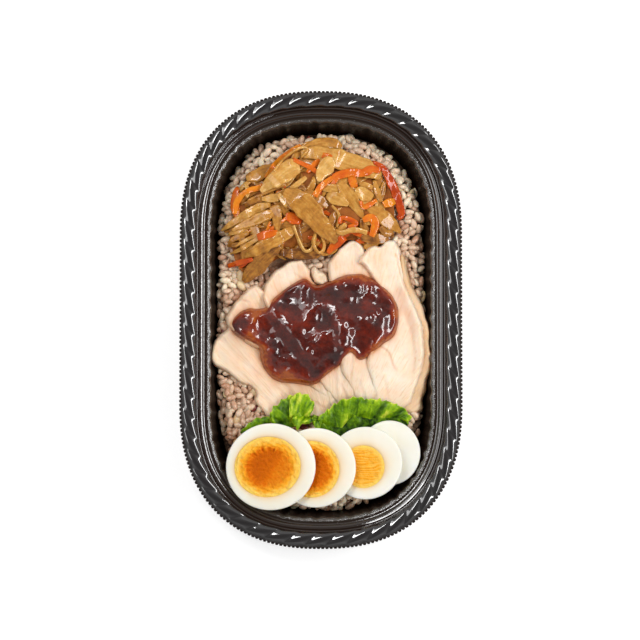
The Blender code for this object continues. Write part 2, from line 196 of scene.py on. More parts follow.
def closed_curve(outline, ragged=0.0, seed=0, step=0.5):
    """A smooth closed curve through an outline's points, its edge a little ragged."""
    rows = np.array(outline, float)
    found = []
    for a, b, c, d in zip(np.roll(rows, 1, 0), rows, np.roll(rows, -1, 0), np.roll(rows, -2, 0)):
        count = max(int(math.ceil(np.hypot(*(c - b)) / step)), 1)
        for t in np.arange(count) / count:
            found.append(0.5 * (2 * b + (c - a) * t + (2 * a - 5 * b + 4 * c - d) * t * t
                                + (3 * b - a - 3 * c + d) * t ** 3))
    curve = np.array(found)
    along = np.roll(curve, -1, 0) - np.roll(curve, 1, 0)
    along /= np.maximum(np.hypot(*along.T), 1e-6)[:, None]
    spots = np.column_stack([curve, np.full(len(curve), seed * 7.7)])
    offset = ragged * (0.8 * lumps(spots, 6.0) + 0.45 * lumps(spots, 2.2, 3))
    return curve + np.column_stack([along[:, 1], -along[:, 0]]) * offset[:, None]


def reach_inside(points, curve):
    """How far inside a closed curve each point lies, below 0 outside, and the nearest place on it."""
    best = np.full(len(points), 1e9)
    nearest = np.zeros((len(points), 2))
    inside = np.zeros(len(points), bool)
    x, y = points[:, 0], points[:, 1]
    for a, b in zip(curve, np.roll(curve, -1, 0)):
        along = b - a
        t = np.clip(((x - a[0]) * along[0] + (y - a[1]) * along[1]) / max(along @ along, 1e-12), 0, 1)
        far = np.hypot(x - a[0] - t * along[0], y - a[1] - t * along[1])
        closer = far < best
        best[closer] = far[closer]
        nearest[closer] = a + t[closer, None] * along
        rise = along[1] if abs(along[1]) > 1e-12 else 1e-12
        inside ^= ((a[1] > y) != (b[1] > y)) & (x < along[0] * (y - a[1]) / rise + a[0])
    return np.where(inside, best, -best), nearest


def new_sheet(name, curve, spacing):
    """A flat sheet of small faces that fills a closed curve."""
    low, high = curve.min(axis=0), curve.max(axis=0)
    count = np.ceil((high - low) / spacing).astype(int) + 1
    deselect()
    bpy.ops.mesh.primitive_grid_add(x_subdivisions=int(count[0]), y_subdivisions=int(count[1]), size=2)
    sheet = bpy.context.object
    sheet.name = name
    points = points_of(sheet) * MM
    points[:, :2] = (low + high) / 2 + points[:, :2] * (high - low) / 2
    set_points(sheet, points)
    reach, _ = reach_inside(points[:, :2], curve)
    bpy.ops.object.mode_set(mode="EDIT")
    bpy.ops.mesh.select_mode(type="VERT")
    bpy.ops.mesh.select_all(action="DESELECT")
    bpy.ops.object.mode_set(mode="OBJECT")
    sheet.data.vertices.foreach_set("select", reach < -0.35 * spacing)
    bpy.ops.object.mode_set(mode="EDIT")
    bpy.ops.mesh.delete(type="VERT")
    bpy.ops.mesh.select_all(action="SELECT")
    bpy.ops.mesh.delete_loose()
    bpy.ops.mesh.select_all(action="DESELECT")
    bpy.ops.mesh.select_non_manifold()
    bpy.ops.object.mode_set(mode="OBJECT")
    edge = np.zeros(len(sheet.data.vertices), bool)
    sheet.data.vertices.foreach_get("select", edge)
    points = points_of(sheet)
    points[edge, :2] = reach_inside(points[edge, :2], curve)[1]
    set_points(sheet, points)
    return sheet


def near_line(points, line, width):
    """1 on a line of places in plan, falling to 0 about a width away from it and towards its ends."""
    rows = curve_through([(x, y, 0) for x, y in line], 0.4)
    share = np.linspace(0, 1, len(rows))
    strength = np.sqrt(np.clip(4 * share * (1 - share), 0, 1))
    total = np.zeros(len(points))
    for (x, y, _), power in zip(rows, strength):
        far = np.hypot(points[:, 0] - x, points[:, 1] - y)
        total = np.maximum(total, power * np.exp(-(far / width) ** 2))
    return total


class Heights:
    """The height of what lies on top, on a grid of half-millimetre cells over the tray."""

    CELL = 0.5

    def __init__(self):
        low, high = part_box("tray")
        self.x0, self.y0 = low.x / MM, low.y / MM
        self.shape = (int((high.x - low.x) / MM / self.CELL) + 2, int((high.y - low.y) / MM / self.CELL) + 2)
        self.z = np.zeros(self.shape)

    def cells(self, x, y):
        i = np.clip(np.rint((np.asarray(x) - self.x0) / self.CELL).astype(int), 0, self.shape[0] - 1)
        j = np.clip(np.rint((np.asarray(y) - self.y0) / self.CELL).astype(int), 0, self.shape[1] - 1)
        return i, j

    def at(self, x, y):
        return self.z[self.cells(x, y)]

    def raise_to(self, x, y, z):
        np.maximum.at(self.z, self.cells(x, y), z)

    def blurred(self, size):
        """The same heights, smoothed over about a size."""
        span = int(math.ceil(2.5 * size / self.CELL))
        weights = np.exp(-0.5 * (np.arange(-span, span + 1) * self.CELL / size) ** 2)
        weights /= weights.sum()
        soft = Heights()
        soft.z = np.pad(self.z, span, mode="edge")
        for axis in (0, 1):
            soft.z = np.apply_along_axis(np.convolve, axis, soft.z, weights, mode="valid")
        return soft

    def between(self, x, y):
        """The height read smoothly between cells."""
        u = np.clip((x - self.x0) / self.CELL, 0, self.shape[0] - 1.001)
        v = np.clip((y - self.y0) / self.CELL, 0, self.shape[1] - 1.001)
        i, j = u.astype(int), v.astype(int)
        u, v = u - i, v - j
        return ((1 - u) * (1 - v) * self.z[i, j] + u * (1 - v) * self.z[i + 1, j]
                + (1 - u) * v * self.z[i, j + 1] + u * v * self.z[i + 1, j + 1])

    def cast(self, piece, upwards=False):
        """The piece's top, or underside, over every cell of its box, as rows of i, j and height."""
        points = points_of(piece)
        tree = BVHTree.FromPolygons(points.tolist(), [p.vertices[:] for p in piece.data.polygons])
        low, high = points.min(axis=0), points.max(axis=0)
        (i0, i1), (j0, j1) = self.cells([low[0], high[0]], [low[1], high[1]])
        start, way = (-50, Vector((0, 0, 1))) if upwards else (100, Vector((0, 0, -1)))
        rows = []
        for i in range(i0, i1 + 1):
            for j in range(j0, j1 + 1):
                corner = Vector((self.x0 + i * self.CELL, self.y0 + j * self.CELL, start))
                hit = tree.ray_cast(corner, way)[0]
                if hit is not None:
                    rows.append((i, j, hit.z))
        return rows

    def add(self, piece):
        for i, j, z in self.cast(piece):
            self.z[i, j] = max(self.z[i, j], z)


# ---------------------------------------------------------------- building finishes

def linear(r, g, b):
    """A colour given in 0 to 255 as shaders take it."""
    def value(c):
        c /= 255
        return c / 12.92 if c <= 0.04045 else ((c + 0.055) / 1.055) ** 2.4
    return (value(r), value(g), value(b), 1.0)


def node(tree, kind, inputs=None, **settings):
    made = tree.nodes.new(kind)
    for name, value in settings.items():
        setattr(made, name, value)
    for name, value in (inputs or {}).items():
        if isinstance(value, bpy.types.NodeSocket):
            tree.links.new(value, made.inputs[name])
        else:
            made.inputs[name].default_value = value
    return made


def sums(tree, operation, *values):
    made = tree.nodes.new("ShaderNodeMath")
    made.operation = operation
    for k, value in enumerate(values):
        if isinstance(value, bpy.types.NodeSocket):
            tree.links.new(value, made.inputs[k])
        else:
            made.inputs[k].default_value = value
    return made.outputs[0]


def varied(tree, value, mask, amount):
    """The value, raised and lowered by a mask that runs from 0 to 1."""
    return sums(tree, "ADD", value, sums(tree, "MULTIPLY", sums(tree, "SUBTRACT", mask, 0.5), amount))


def ramp(tree, factor, *stops):
    """A colour ramp whose stops are pairs of place and colour or grey value."""
    made = tree.nodes.new("ShaderNodeValToRGB")
    elements = made.color_ramp.elements
    while len(elements) < len(stops):
        elements.new(0.5)
    for element, (place, colour) in zip(elements, stops):
        element.position = place
        element.color = colour if isinstance(colour, tuple) else (colour, colour, colour, 1.0)
    tree.links.new(factor, made.inputs["Fac"])
    return made.outputs["Color"]


def blend(tree, share, first, second, mode="MIX"):
    """Mixes two colours."""
    made = tree.nodes.new("ShaderNodeMix")
    made.data_type = "RGBA"
    made.blend_type = mode
    for socket, value in ((made.inputs[0], share), (made.inputs[6], first), (made.inputs[7], second)):
        if isinstance(value, bpy.types.NodeSocket):
            tree.links.new(value, socket)
        else:
            socket.default_value = value
    return made.outputs[2]


def new_group(name, inputs, outputs):
    """A node group with named inputs and outputs, and its two end nodes."""
    tree = bpy.data.node_groups.new(name, "ShaderNodeTree")
    for label, kind, default in inputs:
        socket = tree.interface.new_socket(label, in_out="INPUT", socket_type=kind)
        if default is not None:
            socket.default_value = default
    for label, kind in outputs:
        tree.interface.new_socket(label, in_out="OUTPUT", socket_type=kind)
    return tree, tree.nodes.new("NodeGroupInput"), tree.nodes.new("NodeGroupOutput")


def use(tree, group, **inputs):
    made = tree.nodes.new("ShaderNodeGroup")
    made.node_tree = group
    for name, value in inputs.items():
        socket = made.inputs[name.replace("_", " ")]
        if isinstance(value, bpy.types.NodeSocket):
            tree.links.new(value, socket)
        else:
            socket.default_value = value
    return made.outputs


def relief_of(tree, noise, depth):
    """A mask from 0 to 1 made of a noise, and a normal with its relief."""
    mask = node(tree, "ShaderNodeMapRange", {"Value": noise.outputs["Fac"], "From Min": 0.3, "From Max": 0.7})
    mask = mask.outputs["Result"]
    bump = node(tree, "ShaderNodeBump", {"Strength": 1.0, "Distance": depth, "Height": mask})
    return mask, bump.outputs["Normal"]


def grain_group():
    """Fine uneven grain: a mask from 0 to 1, and a normal with its relief."""
    tree, given, result = new_group(
        "surface_grain",
        [("Place", "NodeSocketVector", None), ("Scale", "NodeSocketFloat", 400.0),
         ("Detail", "NodeSocketFloat", 3.0), ("Relief", "NodeSocketFloat", 0.0002)],
        [("Mask", "NodeSocketFloat"), ("Normal", "NodeSocketVector")])
    noise = node(tree, "ShaderNodeTexNoise", {
        "Vector": given.outputs["Place"], "Scale": given.outputs["Scale"],
        "Detail": given.outputs["Detail"], "Roughness": 0.6})
    mask, normal = relief_of(tree, noise, given.outputs["Relief"])
    tree.links.new(mask, result.inputs["Mask"])
    tree.links.new(normal, result.inputs["Normal"])
    return tree


def fibre_group():
    """Fine lines along the first axis of Place: a mask from 0 to 1, and a normal with its relief."""
    tree, given, result = new_group(
        "fibre_lines",
        [("Place", "NodeSocketVector", None), ("Scale", "NodeSocketFloat", 900.0),
         ("Stretch", "NodeSocketFloat", 0.08), ("Relief", "NodeSocketFloat", 0.0001)],
        [("Mask", "NodeSocketFloat"), ("Normal", "NodeSocketVector")])
    parts = node(tree, "ShaderNodeSeparateXYZ", {"Vector": given.outputs["Place"]})
    short = sums(tree, "MULTIPLY", parts.outputs["X"], given.outputs["Stretch"])
    stretched = node(tree, "ShaderNodeCombineXYZ", {
        "X": short, "Y": parts.outputs["Y"], "Z": parts.outputs["Z"]})
    noise = node(tree, "ShaderNodeTexNoise", {
        "Vector": stretched.outputs["Vector"], "Scale": given.outputs["Scale"], "Detail": 3.0,
        "Roughness": 0.55, "Distortion": 0.2})
    mask, normal = relief_of(tree, noise, given.outputs["Relief"])
    tree.links.new(mask, result.inputs["Mask"])
    tree.links.new(normal, result.inputs["Normal"])
    return tree


GRAIN = grain_group()
FIBRES = fibre_group()


def new_finish(name, **constants):
    """A material and its tree, shader and Object coordinates."""
    made = bpy.data.materials.new(name)
    made.use_nodes = True
    tree = made.node_tree
    shader = tree.nodes["Principled BSDF"]
    for label, value in constants.items():
        shader.inputs[label.replace("_", " ")].default_value = value
    place = node(tree, "ShaderNodeTexCoord").outputs["Object"]
    return made, tree, shader, place


def finished(made, tree, shader, colour, normal):
    """The material, once its colour and normal reach its shader."""
    tree.links.new(colour, shader.inputs["Base Color"])
    tree.links.new(normal, shader.inputs["Normal"])
    return made


def reading(tree, name):
    """What mark() kept under a name."""
    return node(tree, "ShaderNodeAttribute", attribute_name=name).outputs["Fac"]


def tray_finish():
    """Moulded black plastic: glossy where it is smooth, pitted and browner where it is textured, with a painted
    brown reflection of the food on its ledges and well.
    """
    made, tree, shader, place = new_finish(
        "tray_black_plastic", Specular_IOR_Level=0.03, Coat_Roughness=0.05, Coat_IOR=2.1)
    speckle = node(tree, "ShaderNodeTexNoise", {
        "Vector": place, "Scale": 1100.0, "Detail": 3.0, "Roughness": 0.6})
    _, pitted = relief_of(tree, speckle, 0.00012)
    texture, gloss = reading(tree, "texture"), reading(tree, "gloss")
    # painted reflection: the inner mark blends the ledges and well, and part of the outer flange, to a brown
    # that stands in for the food they reflect
    colour = blend(tree, reading(tree, "inner"), linear(44, 42, 42), linear(32, 18, 9))
    colour = blend(tree, texture, colour, linear(54, 47, 41))
    rough = node(tree, "ShaderNodeMapRange", {"Value": gloss, "To Min": 0.6, "To Max": 0.35})
    normal = node(tree, "ShaderNodeMix", data_type="VECTOR")
    geometry = node(tree, "ShaderNodeNewGeometry")
    tree.links.new(texture, normal.inputs[0])
    tree.links.new(geometry.outputs["Normal"], normal.inputs[4])
    tree.links.new(pitted, normal.inputs[5])
    tree.links.new(colour, shader.inputs["Base Color"])
    tree.links.new(rough.outputs["Result"], shader.inputs["Roughness"])
    tree.links.new(gloss, shader.inputs["Coat Weight"])
    tree.links.new(normal.outputs[1], shader.inputs["Normal"])
    tree.links.new(normal.outputs[1], shader.inputs["Coat Normal"])
    return made


def grain_finish(name, pale, dark, roughness, subsurface):
    """Cooked grain: each one in its own tone; on the rice core the tone is painted shade, dark where the core
    lies low.
    """
    made, tree, shader, place = new_finish(
        name, Subsurface_Weight=subsurface, Subsurface_Scale=0.002,
        Subsurface_Radius=(1.0, 0.6, 0.4), Coat_Weight=0.4, Coat_Roughness=0.18, Roughness=roughness)
    fine = use(tree, GRAIN, Place=place, Scale=700.0, Detail=2.0, Relief=0.0001)
    tone = reading(tree, "tone")
    share = sums(tree, "ADD", sums(tree, "MULTIPLY", tone, 0.75), sums(tree, "MULTIPLY", fine["Mask"], 0.25))
    return finished(made, tree, shader, ramp(tree, share, (0.0, pale), (1.0, dark)), fine["Normal"])


def strip_finish(name, stops, relief, glaze):
    """Simmered vegetable strips: fibres along each strip, in its own tone, under a glaze."""
    made, tree, shader, place = new_finish(
        name, Subsurface_Weight=0.12, Subsurface_Scale=0.0015, Subsurface_Radius=(1.0, 0.45, 0.12),
        Coat_Weight=glaze, Coat_Roughness=0.06, Roughness=0.5, Specular_IOR_Level=0.15)
    lines = use(tree, FIBRES, Place=node(tree, "ShaderNodeUVMap", uv_map="UVMap").outputs["UV"],
                Scale=900.0, Stretch=0.12, Relief=relief)
    patches = use(tree, GRAIN, Place=place, Scale=300.0, Detail=4.0, Relief=0.0003)
    share = sums(tree, "ADD", reading(tree, "tone"), sums(tree, "MULTIPLY", lines["Mask"], 0.28))
    share = sums(tree, "ADD", share, sums(tree, "MULTIPLY", patches["Mask"], 0.4))
    colour = ramp(tree, sums(tree, "SUBTRACT", share, 0.34), *stops)
    bump = node(tree, "ShaderNodeBump", {"Strength": 1.0, "Distance": 0.00035, "Height": patches["Mask"],
                                         "Normal": lines["Normal"]})
    return finished(made, tree, shader, colour, bump.outputs["Normal"])


def chicken_finish():
    """Steamed breast meat: fine fibres that spread from the fan's pivot, stained beside the sauce, and painted a
    duller tan as shade on the outer slices and towards each slice's edge.
    """
    made, tree, shader, place = new_finish(
        "chicken_meat", Subsurface_Weight=0.4, Subsurface_Scale=0.004, Subsurface_Radius=(1.0, 0.55, 0.3),
        Coat_Weight=0.1, Coat_Roughness=0.3, Roughness=0.5, Specular_IOR_Level=0.3)
    shifted = node(tree, "ShaderNodeMapping", {"Vector": place, "Location": (-0.010, 0.075, 0.0)})
    parts = node(tree, "ShaderNodeSeparateXYZ", {"Vector": shifted.outputs["Vector"]})
    turn = sums(tree, "ARCTAN2", parts.outputs["X"], parts.outputs["Y"])
    squares = [sums(tree, "MULTIPLY", parts.outputs[axis], parts.outputs[axis]) for axis in "XY"]
    reach = sums(tree, "SQRT", sums(tree, "ADD", *squares))
    fan = node(tree, "ShaderNodeCombineXYZ", {
        "X": reach, "Y": sums(tree, "MULTIPLY", turn, 0.08), "Z": parts.outputs["Z"]})
    lines = use(tree, FIBRES, Place=fan.outputs["Vector"], Scale=900.0, Stretch=0.1, Relief=0.00012)
    patches = use(tree, GRAIN, Place=place, Scale=90.0, Detail=3.0, Relief=0.0002)
    base = ramp(tree, patches["Mask"], (0.0, linear(254, 214, 182)), (1.0, linear(255, 236, 216)))
    fine = ramp(tree, lines["Mask"], (0.0, linear(240, 218, 190)), (0.45, linear(255, 255, 255)))
    colour = blend(tree, 0.6, base, fine, "MULTIPLY")
    # painted shade: a duller, darker tan towards each slice's edge and on the outer slices
    colour = blend(tree, reading(tree, "dull_and_shade"), colour, linear(222, 178, 128))
    colour = blend(tree, reading(tree, "stain"), colour, linear(204, 122, 52))
    return finished(made, tree, shader, colour, lines["Normal"])


def sauce_finish():
    """Thick glossy sauce: amber where it is thin at its rim, dark red-brown over the rest."""
    made, tree, shader, place = new_finish(
        "sauce_glossy", Roughness=0.4, Specular_IOR_Level=0.1,
        Coat_Weight=1.0, Coat_Roughness=0.11, Coat_IOR=1.62,
        Subsurface_Weight=0.1, Subsurface_Scale=0.002, Subsurface_Radius=(1.0, 0.2, 0.05))
    pulp = use(tree, GRAIN, Place=place, Scale=480.0, Detail=4.0, Relief=0.0006)
    deep = varied(tree, reading(tree, "depth"), pulp["Mask"], 0.3)
    colour = ramp(tree, deep, (0.0, linear(170, 82, 22)), (0.15, linear(138, 48, 10)),
                  (0.4, linear(118, 30, 6)), (0.7, linear(82, 20, 8)), (1.0, linear(52, 13, 8)))
    return finished(made, tree, shader, colour, pulp["Normal"])


def leaf_finish():
    """Crisp leaf: painted shade in its folds and lower layers and painted light on its raised ruffles, pale and
    yellow along veins and frilled edges.
    """
    made, tree, shader, place = new_finish(
        "lettuce_leaf", Roughness=0.45, Specular_IOR_Level=0.12, Coat_Weight=0.2, Coat_Roughness=0.25,
        Subsurface_Weight=0.15, Subsurface_Scale=0.002, Subsurface_Radius=(0.4, 1.0, 0.1))
    blade = use(tree, GRAIN, Place=place, Scale=260.0, Detail=4.0, Relief=0.0007)
    tone = varied(tree, reading(tree, "tone"), blade["Mask"], 0.4)
    colour = ramp(tree, tone, (0.0, linear(22, 50, 0)), (0.4, linear(86, 126, 2)),
                  (0.75, linear(140, 178, 14)), (1.0, linear(208, 222, 70)))
    return finished(made, tree, shader, colour, blade["Normal"])


def egg_white_finish():
    """Firm egg white, stained a little beside the yolk."""
    made, tree, shader, place = new_finish(
        "egg_white", Roughness=0.35, Subsurface_Weight=0.5, Subsurface_Scale=0.004,
        Subsurface_Radius=(1.0, 0.85, 0.6), Coat_Weight=0.2, Coat_Roughness=0.2)
    soft = use(tree, GRAIN, Place=place, Scale=60.0, Detail=2.0, Relief=0.00008)
    colour = ramp(tree, soft["Mask"], (0.0, linear(240, 235, 220)), (1.0, linear(247, 244, 233)))
    colour = blend(tree, reading(tree, "yolk_side"), colour, linear(250, 206, 142))
    return finished(made, tree, shader, colour, soft["Normal"])


def yolk_finish():
    """Cooked yolk: crumbly and pale at its rim, darker and moister towards its middle, with painted shade at its
    upper left and along its crater's upper edge, and its raised wrinkles painted paler.
    """
    made, tree, shader, place = new_finish(
        "egg_yolk", Roughness=0.5, Specular_IOR_Level=0.06, Subsurface_Weight=0.15, Subsurface_Scale=0.0015,
        Subsurface_Radius=(1.0, 0.45, 0.05), Coat_Weight=0.02, Coat_Roughness=0.3)
    crumb = use(tree, GRAIN, Place=place, Scale=480.0, Detail=4.0, Relief=0.00045)
    share = varied(tree, reading(tree, "ripe_and_shade"), crumb["Mask"], 0.14)
    colour = ramp(tree, share, (0.0, linear(255, 210, 100)), (0.3, linear(248, 170, 40)),
                  (0.65, linear(222, 112, 4)), (1.0, linear(176, 74, 0)))
    return finished(made, tree, shader, colour, crumb["Normal"])


# ---------------------------------------------------------------- tray

STRANDS = 60
COLUMNS = 20 * STRANDS
TEETH_EVERY = 4  # columns
TOOTH = 0.9
TWIST = 0.9  # strand pitches that a groove moves on while it crosses the band
BULGE = 0.36
GROOVE = 0.13
GROOVE_WIDTH = 0.09  # strand pitches
LEAN = 0.85  # how far each strand moves inwards along its length
END_DEPTH = 72.5
END_SQUARENESS = 2.35

# inset from the lip, height, share of a strand's bulge, of the groove between strands, of the
# twist and of the teeth, flutes of the wall, and how rough the texture is
TRAY_SECTION = [
    (0.05, 27.3, 0, 0, 0, 1, 0, 0), (0.35, 27.4, 0, 0, 0, 0.7, 0, 0), (0.8, 27.45, 0, 0, 0, 0.2, 0, 0),
    (1.1, 28.2, 0.05, 0, 0.03, 0, 0, 0), (1.4, 29.8, 0.35, 0, 0.1, 0, 0, 0),
    (1.75, 30.4, 0.6, 0.05, 0.16, 0, 0, 0), (2.2, 30.8, 0.8, 0.2, 0.22, 0, 0, 0),
    (2.8, 31, 1, 0.6, 0.3, 0, 0, 0), (3.4, 31.15, 1, 1, 0.38, 0, 0, 0), (4.3, 31.2, 1, 1, 0.49, 0, 0, 0),
    (5.2, 31.18, 1, 1, 0.61, 0, 0, 0), (6.1, 31.05, 1, 1, 0.72, 0, 0, 0),
    (6.6, 30.92, 1, 0.9, 0.78, 0, 0, 0), (6.95, 30.77, 0.95, 0.6, 0.83, 0, 0, 0),
    (7.7, 30.42, 0.85, 0.2, 0.92, 0, 0, 0), (7.95, 30.1, 0.75, 0.1, 0.95, 0, 0, 0),
    (8.15, 29.4, 0.6, 0, 0.98, 0, 0, 0), (8.4, 28.1, 0.3, 0, 1, 0, 0, 0),
    (8.75, 27.22, 0.05, 0, 1, 0, 0, 0), (9.6, 27.1, 0, 0, 1, 0, 0, 0), (9.8, 27.25, 0, 0, 1, 0, 0, 0),
    (10.05, 27.25, 0, 0, 1, 0, 0, 0), (10.25, 27.12, 0, 0, 1, 0, 0, 0), (10.6, 27.08, 0, 0, 1, 0, 0, 0),
    (10.8, 27.01, 0, 0, 1, 0, 0, 0.1), (11.3, 26.78, 0, 0, 1, 0, 0, 0.2),
    (11.75, 26.55, 0, 0, 1, 0, 0, 0.15), (11.9, 26.2, 0, 0, 1, 0, 0, 0),
    (12.15, 25.88, 0, 0, 1, 0, 0, 0.1), (13.2, 25.85, 0, 0, 1, 0, 0, 0.2),
    (13.9, 25.84, 0, 0, 1, 0, 0.1, 0.8), (14.25, 25.73, 0, 0, 1, 0, 0.2, 1),
    (15.2, 25.28, 0, 0, 1, 0, 0.45, 1), (15.6, 24.8, 0, 0, 1, 0, 0.7, 0.7),
    (16, 23.4, 0, 0, 1, 0, 1, 0.4), (16.8, 19, 0, 0, 1, 0, 1, 0.4), (18.5, 8.5, 0, 0, 1, 0, 0.5, 0.1),
    (19.2, 4.5, 0, 0, 1, 0, 0.2, 0), (20, 1.6, 0, 0, 1, 0, 0, 0), (21.4, 0.65, 0, 0, 1, 0, 0, 0),
]

# inset from the lip, and how glossy the plastic is there
GLOSS = [(1.8, 0.03), (2.4, 0.9), (8, 0.9), (8.8, 0.7), (12.5, 0.7), (13.6, 1), (15.6, 1), (16, 0.2)]
WALL_INSET = 15.6  # where the well's wall starts


def tray_outline(turns, inset):
    """Points of the tray's edge at turns from 0 to 1, moved straight inwards."""
    low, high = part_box("tray")
    half_width, half_length = high.x / MM, high.y / MM
    angle = (np.arange(9600) + 0.5) / 9600 * 2 * math.pi
    power = 2 / END_SQUARENESS
    x = np.copysign(half_width * abs(np.cos(angle)) ** power, np.cos(angle))
    y = np.copysign(half_length - END_DEPTH + END_DEPTH * abs(np.sin(angle)) ** power, np.sin(angle))
    x, y = np.append(x, x[0]), np.append(y, y[0])
    length = np.append(0, np.cumsum(np.hypot(np.diff(x), np.diff(y))))

    def at(turn):
        along = (turn % 1.0) * length[-1]
        return np.interp(along, length, x), np.interp(along, length, y)

    (x1, y1), (x2, y2), (px, py) = at(turns - 0.002), at(turns + 0.002), at(turns)
    size = np.hypot(x2 - x1, y2 - y1)
    return px - (y2 - y1) / size * inset, py + (x2 - x1) / size * inset


def make_tray(finish):
    deselect()
    bpy.ops.mesh.primitive_circle_add(vertices=COLUMNS, radius=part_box("tray")[1].x)
    tray = bpy.context.object
    tray.name = "tray_moulded"
    for attribute in ("column", "texture", "gloss", "inner"):
        tray.data.attributes.new(attribute, "FLOAT", "POINT")
    mark(tray, "column", np.arange(COLUMNS))
    bpy.ops.object.mode_set(mode="EDIT")
    bpy.ops.mesh.select_all(action="SELECT")
    for number, row in enumerate(TRAY_SECTION):
        if number:
            bpy.ops.mesh.extrude_region_move()
        place_tray_ring(tray, *row)
    bpy.ops.mesh.edge_face_add()
    bpy.ops.mesh.inset(thickness=8 * MM)
    bpy.ops.mesh.select_all(action="SELECT")
    bpy.ops.mesh.normals_make_consistent(inside=False)
    bpy.ops.object.mode_set(mode="OBJECT")
    if max(tray.data.polygons, key=lambda face: face.area).normal.z < 0:
        tray.data.flip_normals()
    modify(tray, "SOLIDIFY", thickness=0.6 * MM, offset=-1, use_even_offset=False)
    return done(tray, finish, "tray", "tray")


def place_tray_ring(tray, inset, z, bulge, groove, twist, teeth, flutes, texture):
    """Moves the selected ring to its place in the tray's section."""
    mesh = bmesh.from_edit_mesh(tray.data)
    layer = mesh.verts.layers.float
    ring = sorted((v for v in mesh.verts if v.select), key=lambda v: v[layer["column"]])
    columns = np.arange(COLUMNS)
    strand, part = np.divmod(columns / COLUMNS * STRANDS, 1.0)
    part -= 0.11 * np.sin(2 * math.pi * part) * min(1, 2 * bulge)  # columns gather at the grooves
    cleft = np.exp(-(np.minimum(part, 1 - part) / GROOVE_WIDTH) ** 2)
    notch = np.where(columns % TEETH_EVERY == 0, TOOTH, 0.0)
    around = columns / COLUMNS * 2 * math.pi
    flute = 0.28 * np.sin(around * 96) + 0.24 * np.sin(around * 61 + 1)
    insets = inset + teeth * notch + flutes * flute + LEAN * bulge * (part - 0.5) * (1 - cleft)
    x, y = tray_outline((strand + part + TWIST * twist) / STRANDS, insets)
    heights = z + bulge * BULGE * np.sin(math.pi * part) - groove * GROOVE * cleft
    gloss = float(np.interp(inset, *np.transpose(GLOSS)))
    for v, a, b, c in zip(ring, x, y, heights):
        v.co = (a * MM, b * MM, c * MM)
        v[layer["texture"]] = texture
        v[layer["gloss"]] = gloss
        # inner: a painted brown reflection on the ledges and well, and a share of that brown on the outer flange
        v[layer["inner"]] = float(max(eased(inset, 7.7, 8.4), 0.6 * (1 - eased(inset, 1.0, 1.8))))
    bmesh.update_edit_mesh(tray.data)


# ---------------------------------------------------------------- rice

def ellipsoid(radii, turn):
    """The height of an ellipsoid's lower and upper side over the cells that it covers, in plan."""
    matrix = np.array(turn) @ np.diag([1 / r ** 2 for r in radii]) @ np.array(turn).T
    reach = max(radii)
    steps = np.arange(-reach, reach + 0.01, Heights.CELL)
    x, y = (grid.ravel() for grid in np.meshgrid(steps, steps, indexing="ij"))
    a = matrix[2, 2]
    b = matrix[0, 2] * x + matrix[1, 2] * y
    c = matrix[0, 0] * x * x + 2 * matrix[0, 1] * x * y + matrix[1, 1] * y * y - 1
    root = b * b - a * c
    inside = root > 0
    root = np.sqrt(root[inside])
    b = b[inside]
    return x[inside], y[inside], (-b - root) / a, (-b + root) / a


RICE_RADII = (2.6, 1.65, 1.4)
BARLEY_RADII = (3.5, 2.6, 1.7)
HANDFULS, TRIES = 18, 5  # rounds of grains, and places tried for each grain
GRAIN_SINK = 1.25  # how far soft grains press into what they lie on


def settle(ground, roof, ceiling, spots, radii, tries):
    """Drops grains one by one, each where it lies lowest of a few tries, and says where they lie."""
    laid = []
    for x, y in spots:
        best = None
        size = CHANCE.uniform(0.88, 1.14)
        for _ in range(tries):
            px, py = x + CHANCE.gauss(0, 0.8), y + CHANCE.gauss(0, 0.8)
            turn = (Matrix.Rotation(CHANCE.uniform(0, 2 * math.pi), 3, "Z")
                    @ Matrix.Rotation(CHANCE.gauss(0, 0.35), 3, "Y")
                    @ Matrix.Rotation(CHANCE.uniform(0, math.pi), 3, "X"))
            cx, cy, low, high = ellipsoid([r * size for r in radii], turn)
            cells = ground.cells(px + cx, py + cy)
            z = np.partition(ground.z[cells] - low, -4)[-4] - GRAIN_SINK
            if best is None or z < best[0]:
                best = (z, px, py, turn, cells, high)
        z, px, py, turn, cells, high = best
        top = z + high
        if (top > roof.z[cells] + 0.9).mean() > 0.12 or (top > ceiling.z[cells] - 0.2).any():
            continue
        np.maximum.at(ground.z, cells, top)
        laid.append(((px, py, z), turn.to_euler(), size))
    return laid


def kept_inside(laid, radii):
    """The same grains, with those that would stand out through the tray's wall moved back inside it."""
    edge = np.column_stack(tray_outline(np.arange(0, 1, 0.001), 0.0))
    wall = [row[:2] for row in reversed(TRAY_SECTION) if row[0] >= WALL_INSET]
    moved = []
    for (x, y, z), turn, size in laid:
        near = edge[np.argmin(np.hypot(edge[:, 0] - x, edge[:, 1] - y))]
        gap = math.hypot(x - near[0], y - near[1])
        inwards = Vector(((x - near[0]) / gap, (y - near[1]) / gap, 0))
        across = turn.to_matrix().transposed() @ inwards
        reach = size * math.sqrt(sum((r * a) ** 2 for r, a in zip(radii, across)))
        inset = float(np.interp(z - 1, [height for _, height in wall], [inset for inset, _ in wall]))
        step = max(inset + reach - gap, 0)
        moved.append(((x + inwards.x * step, y + inwards.y * step, z), turn, size))
    return moved


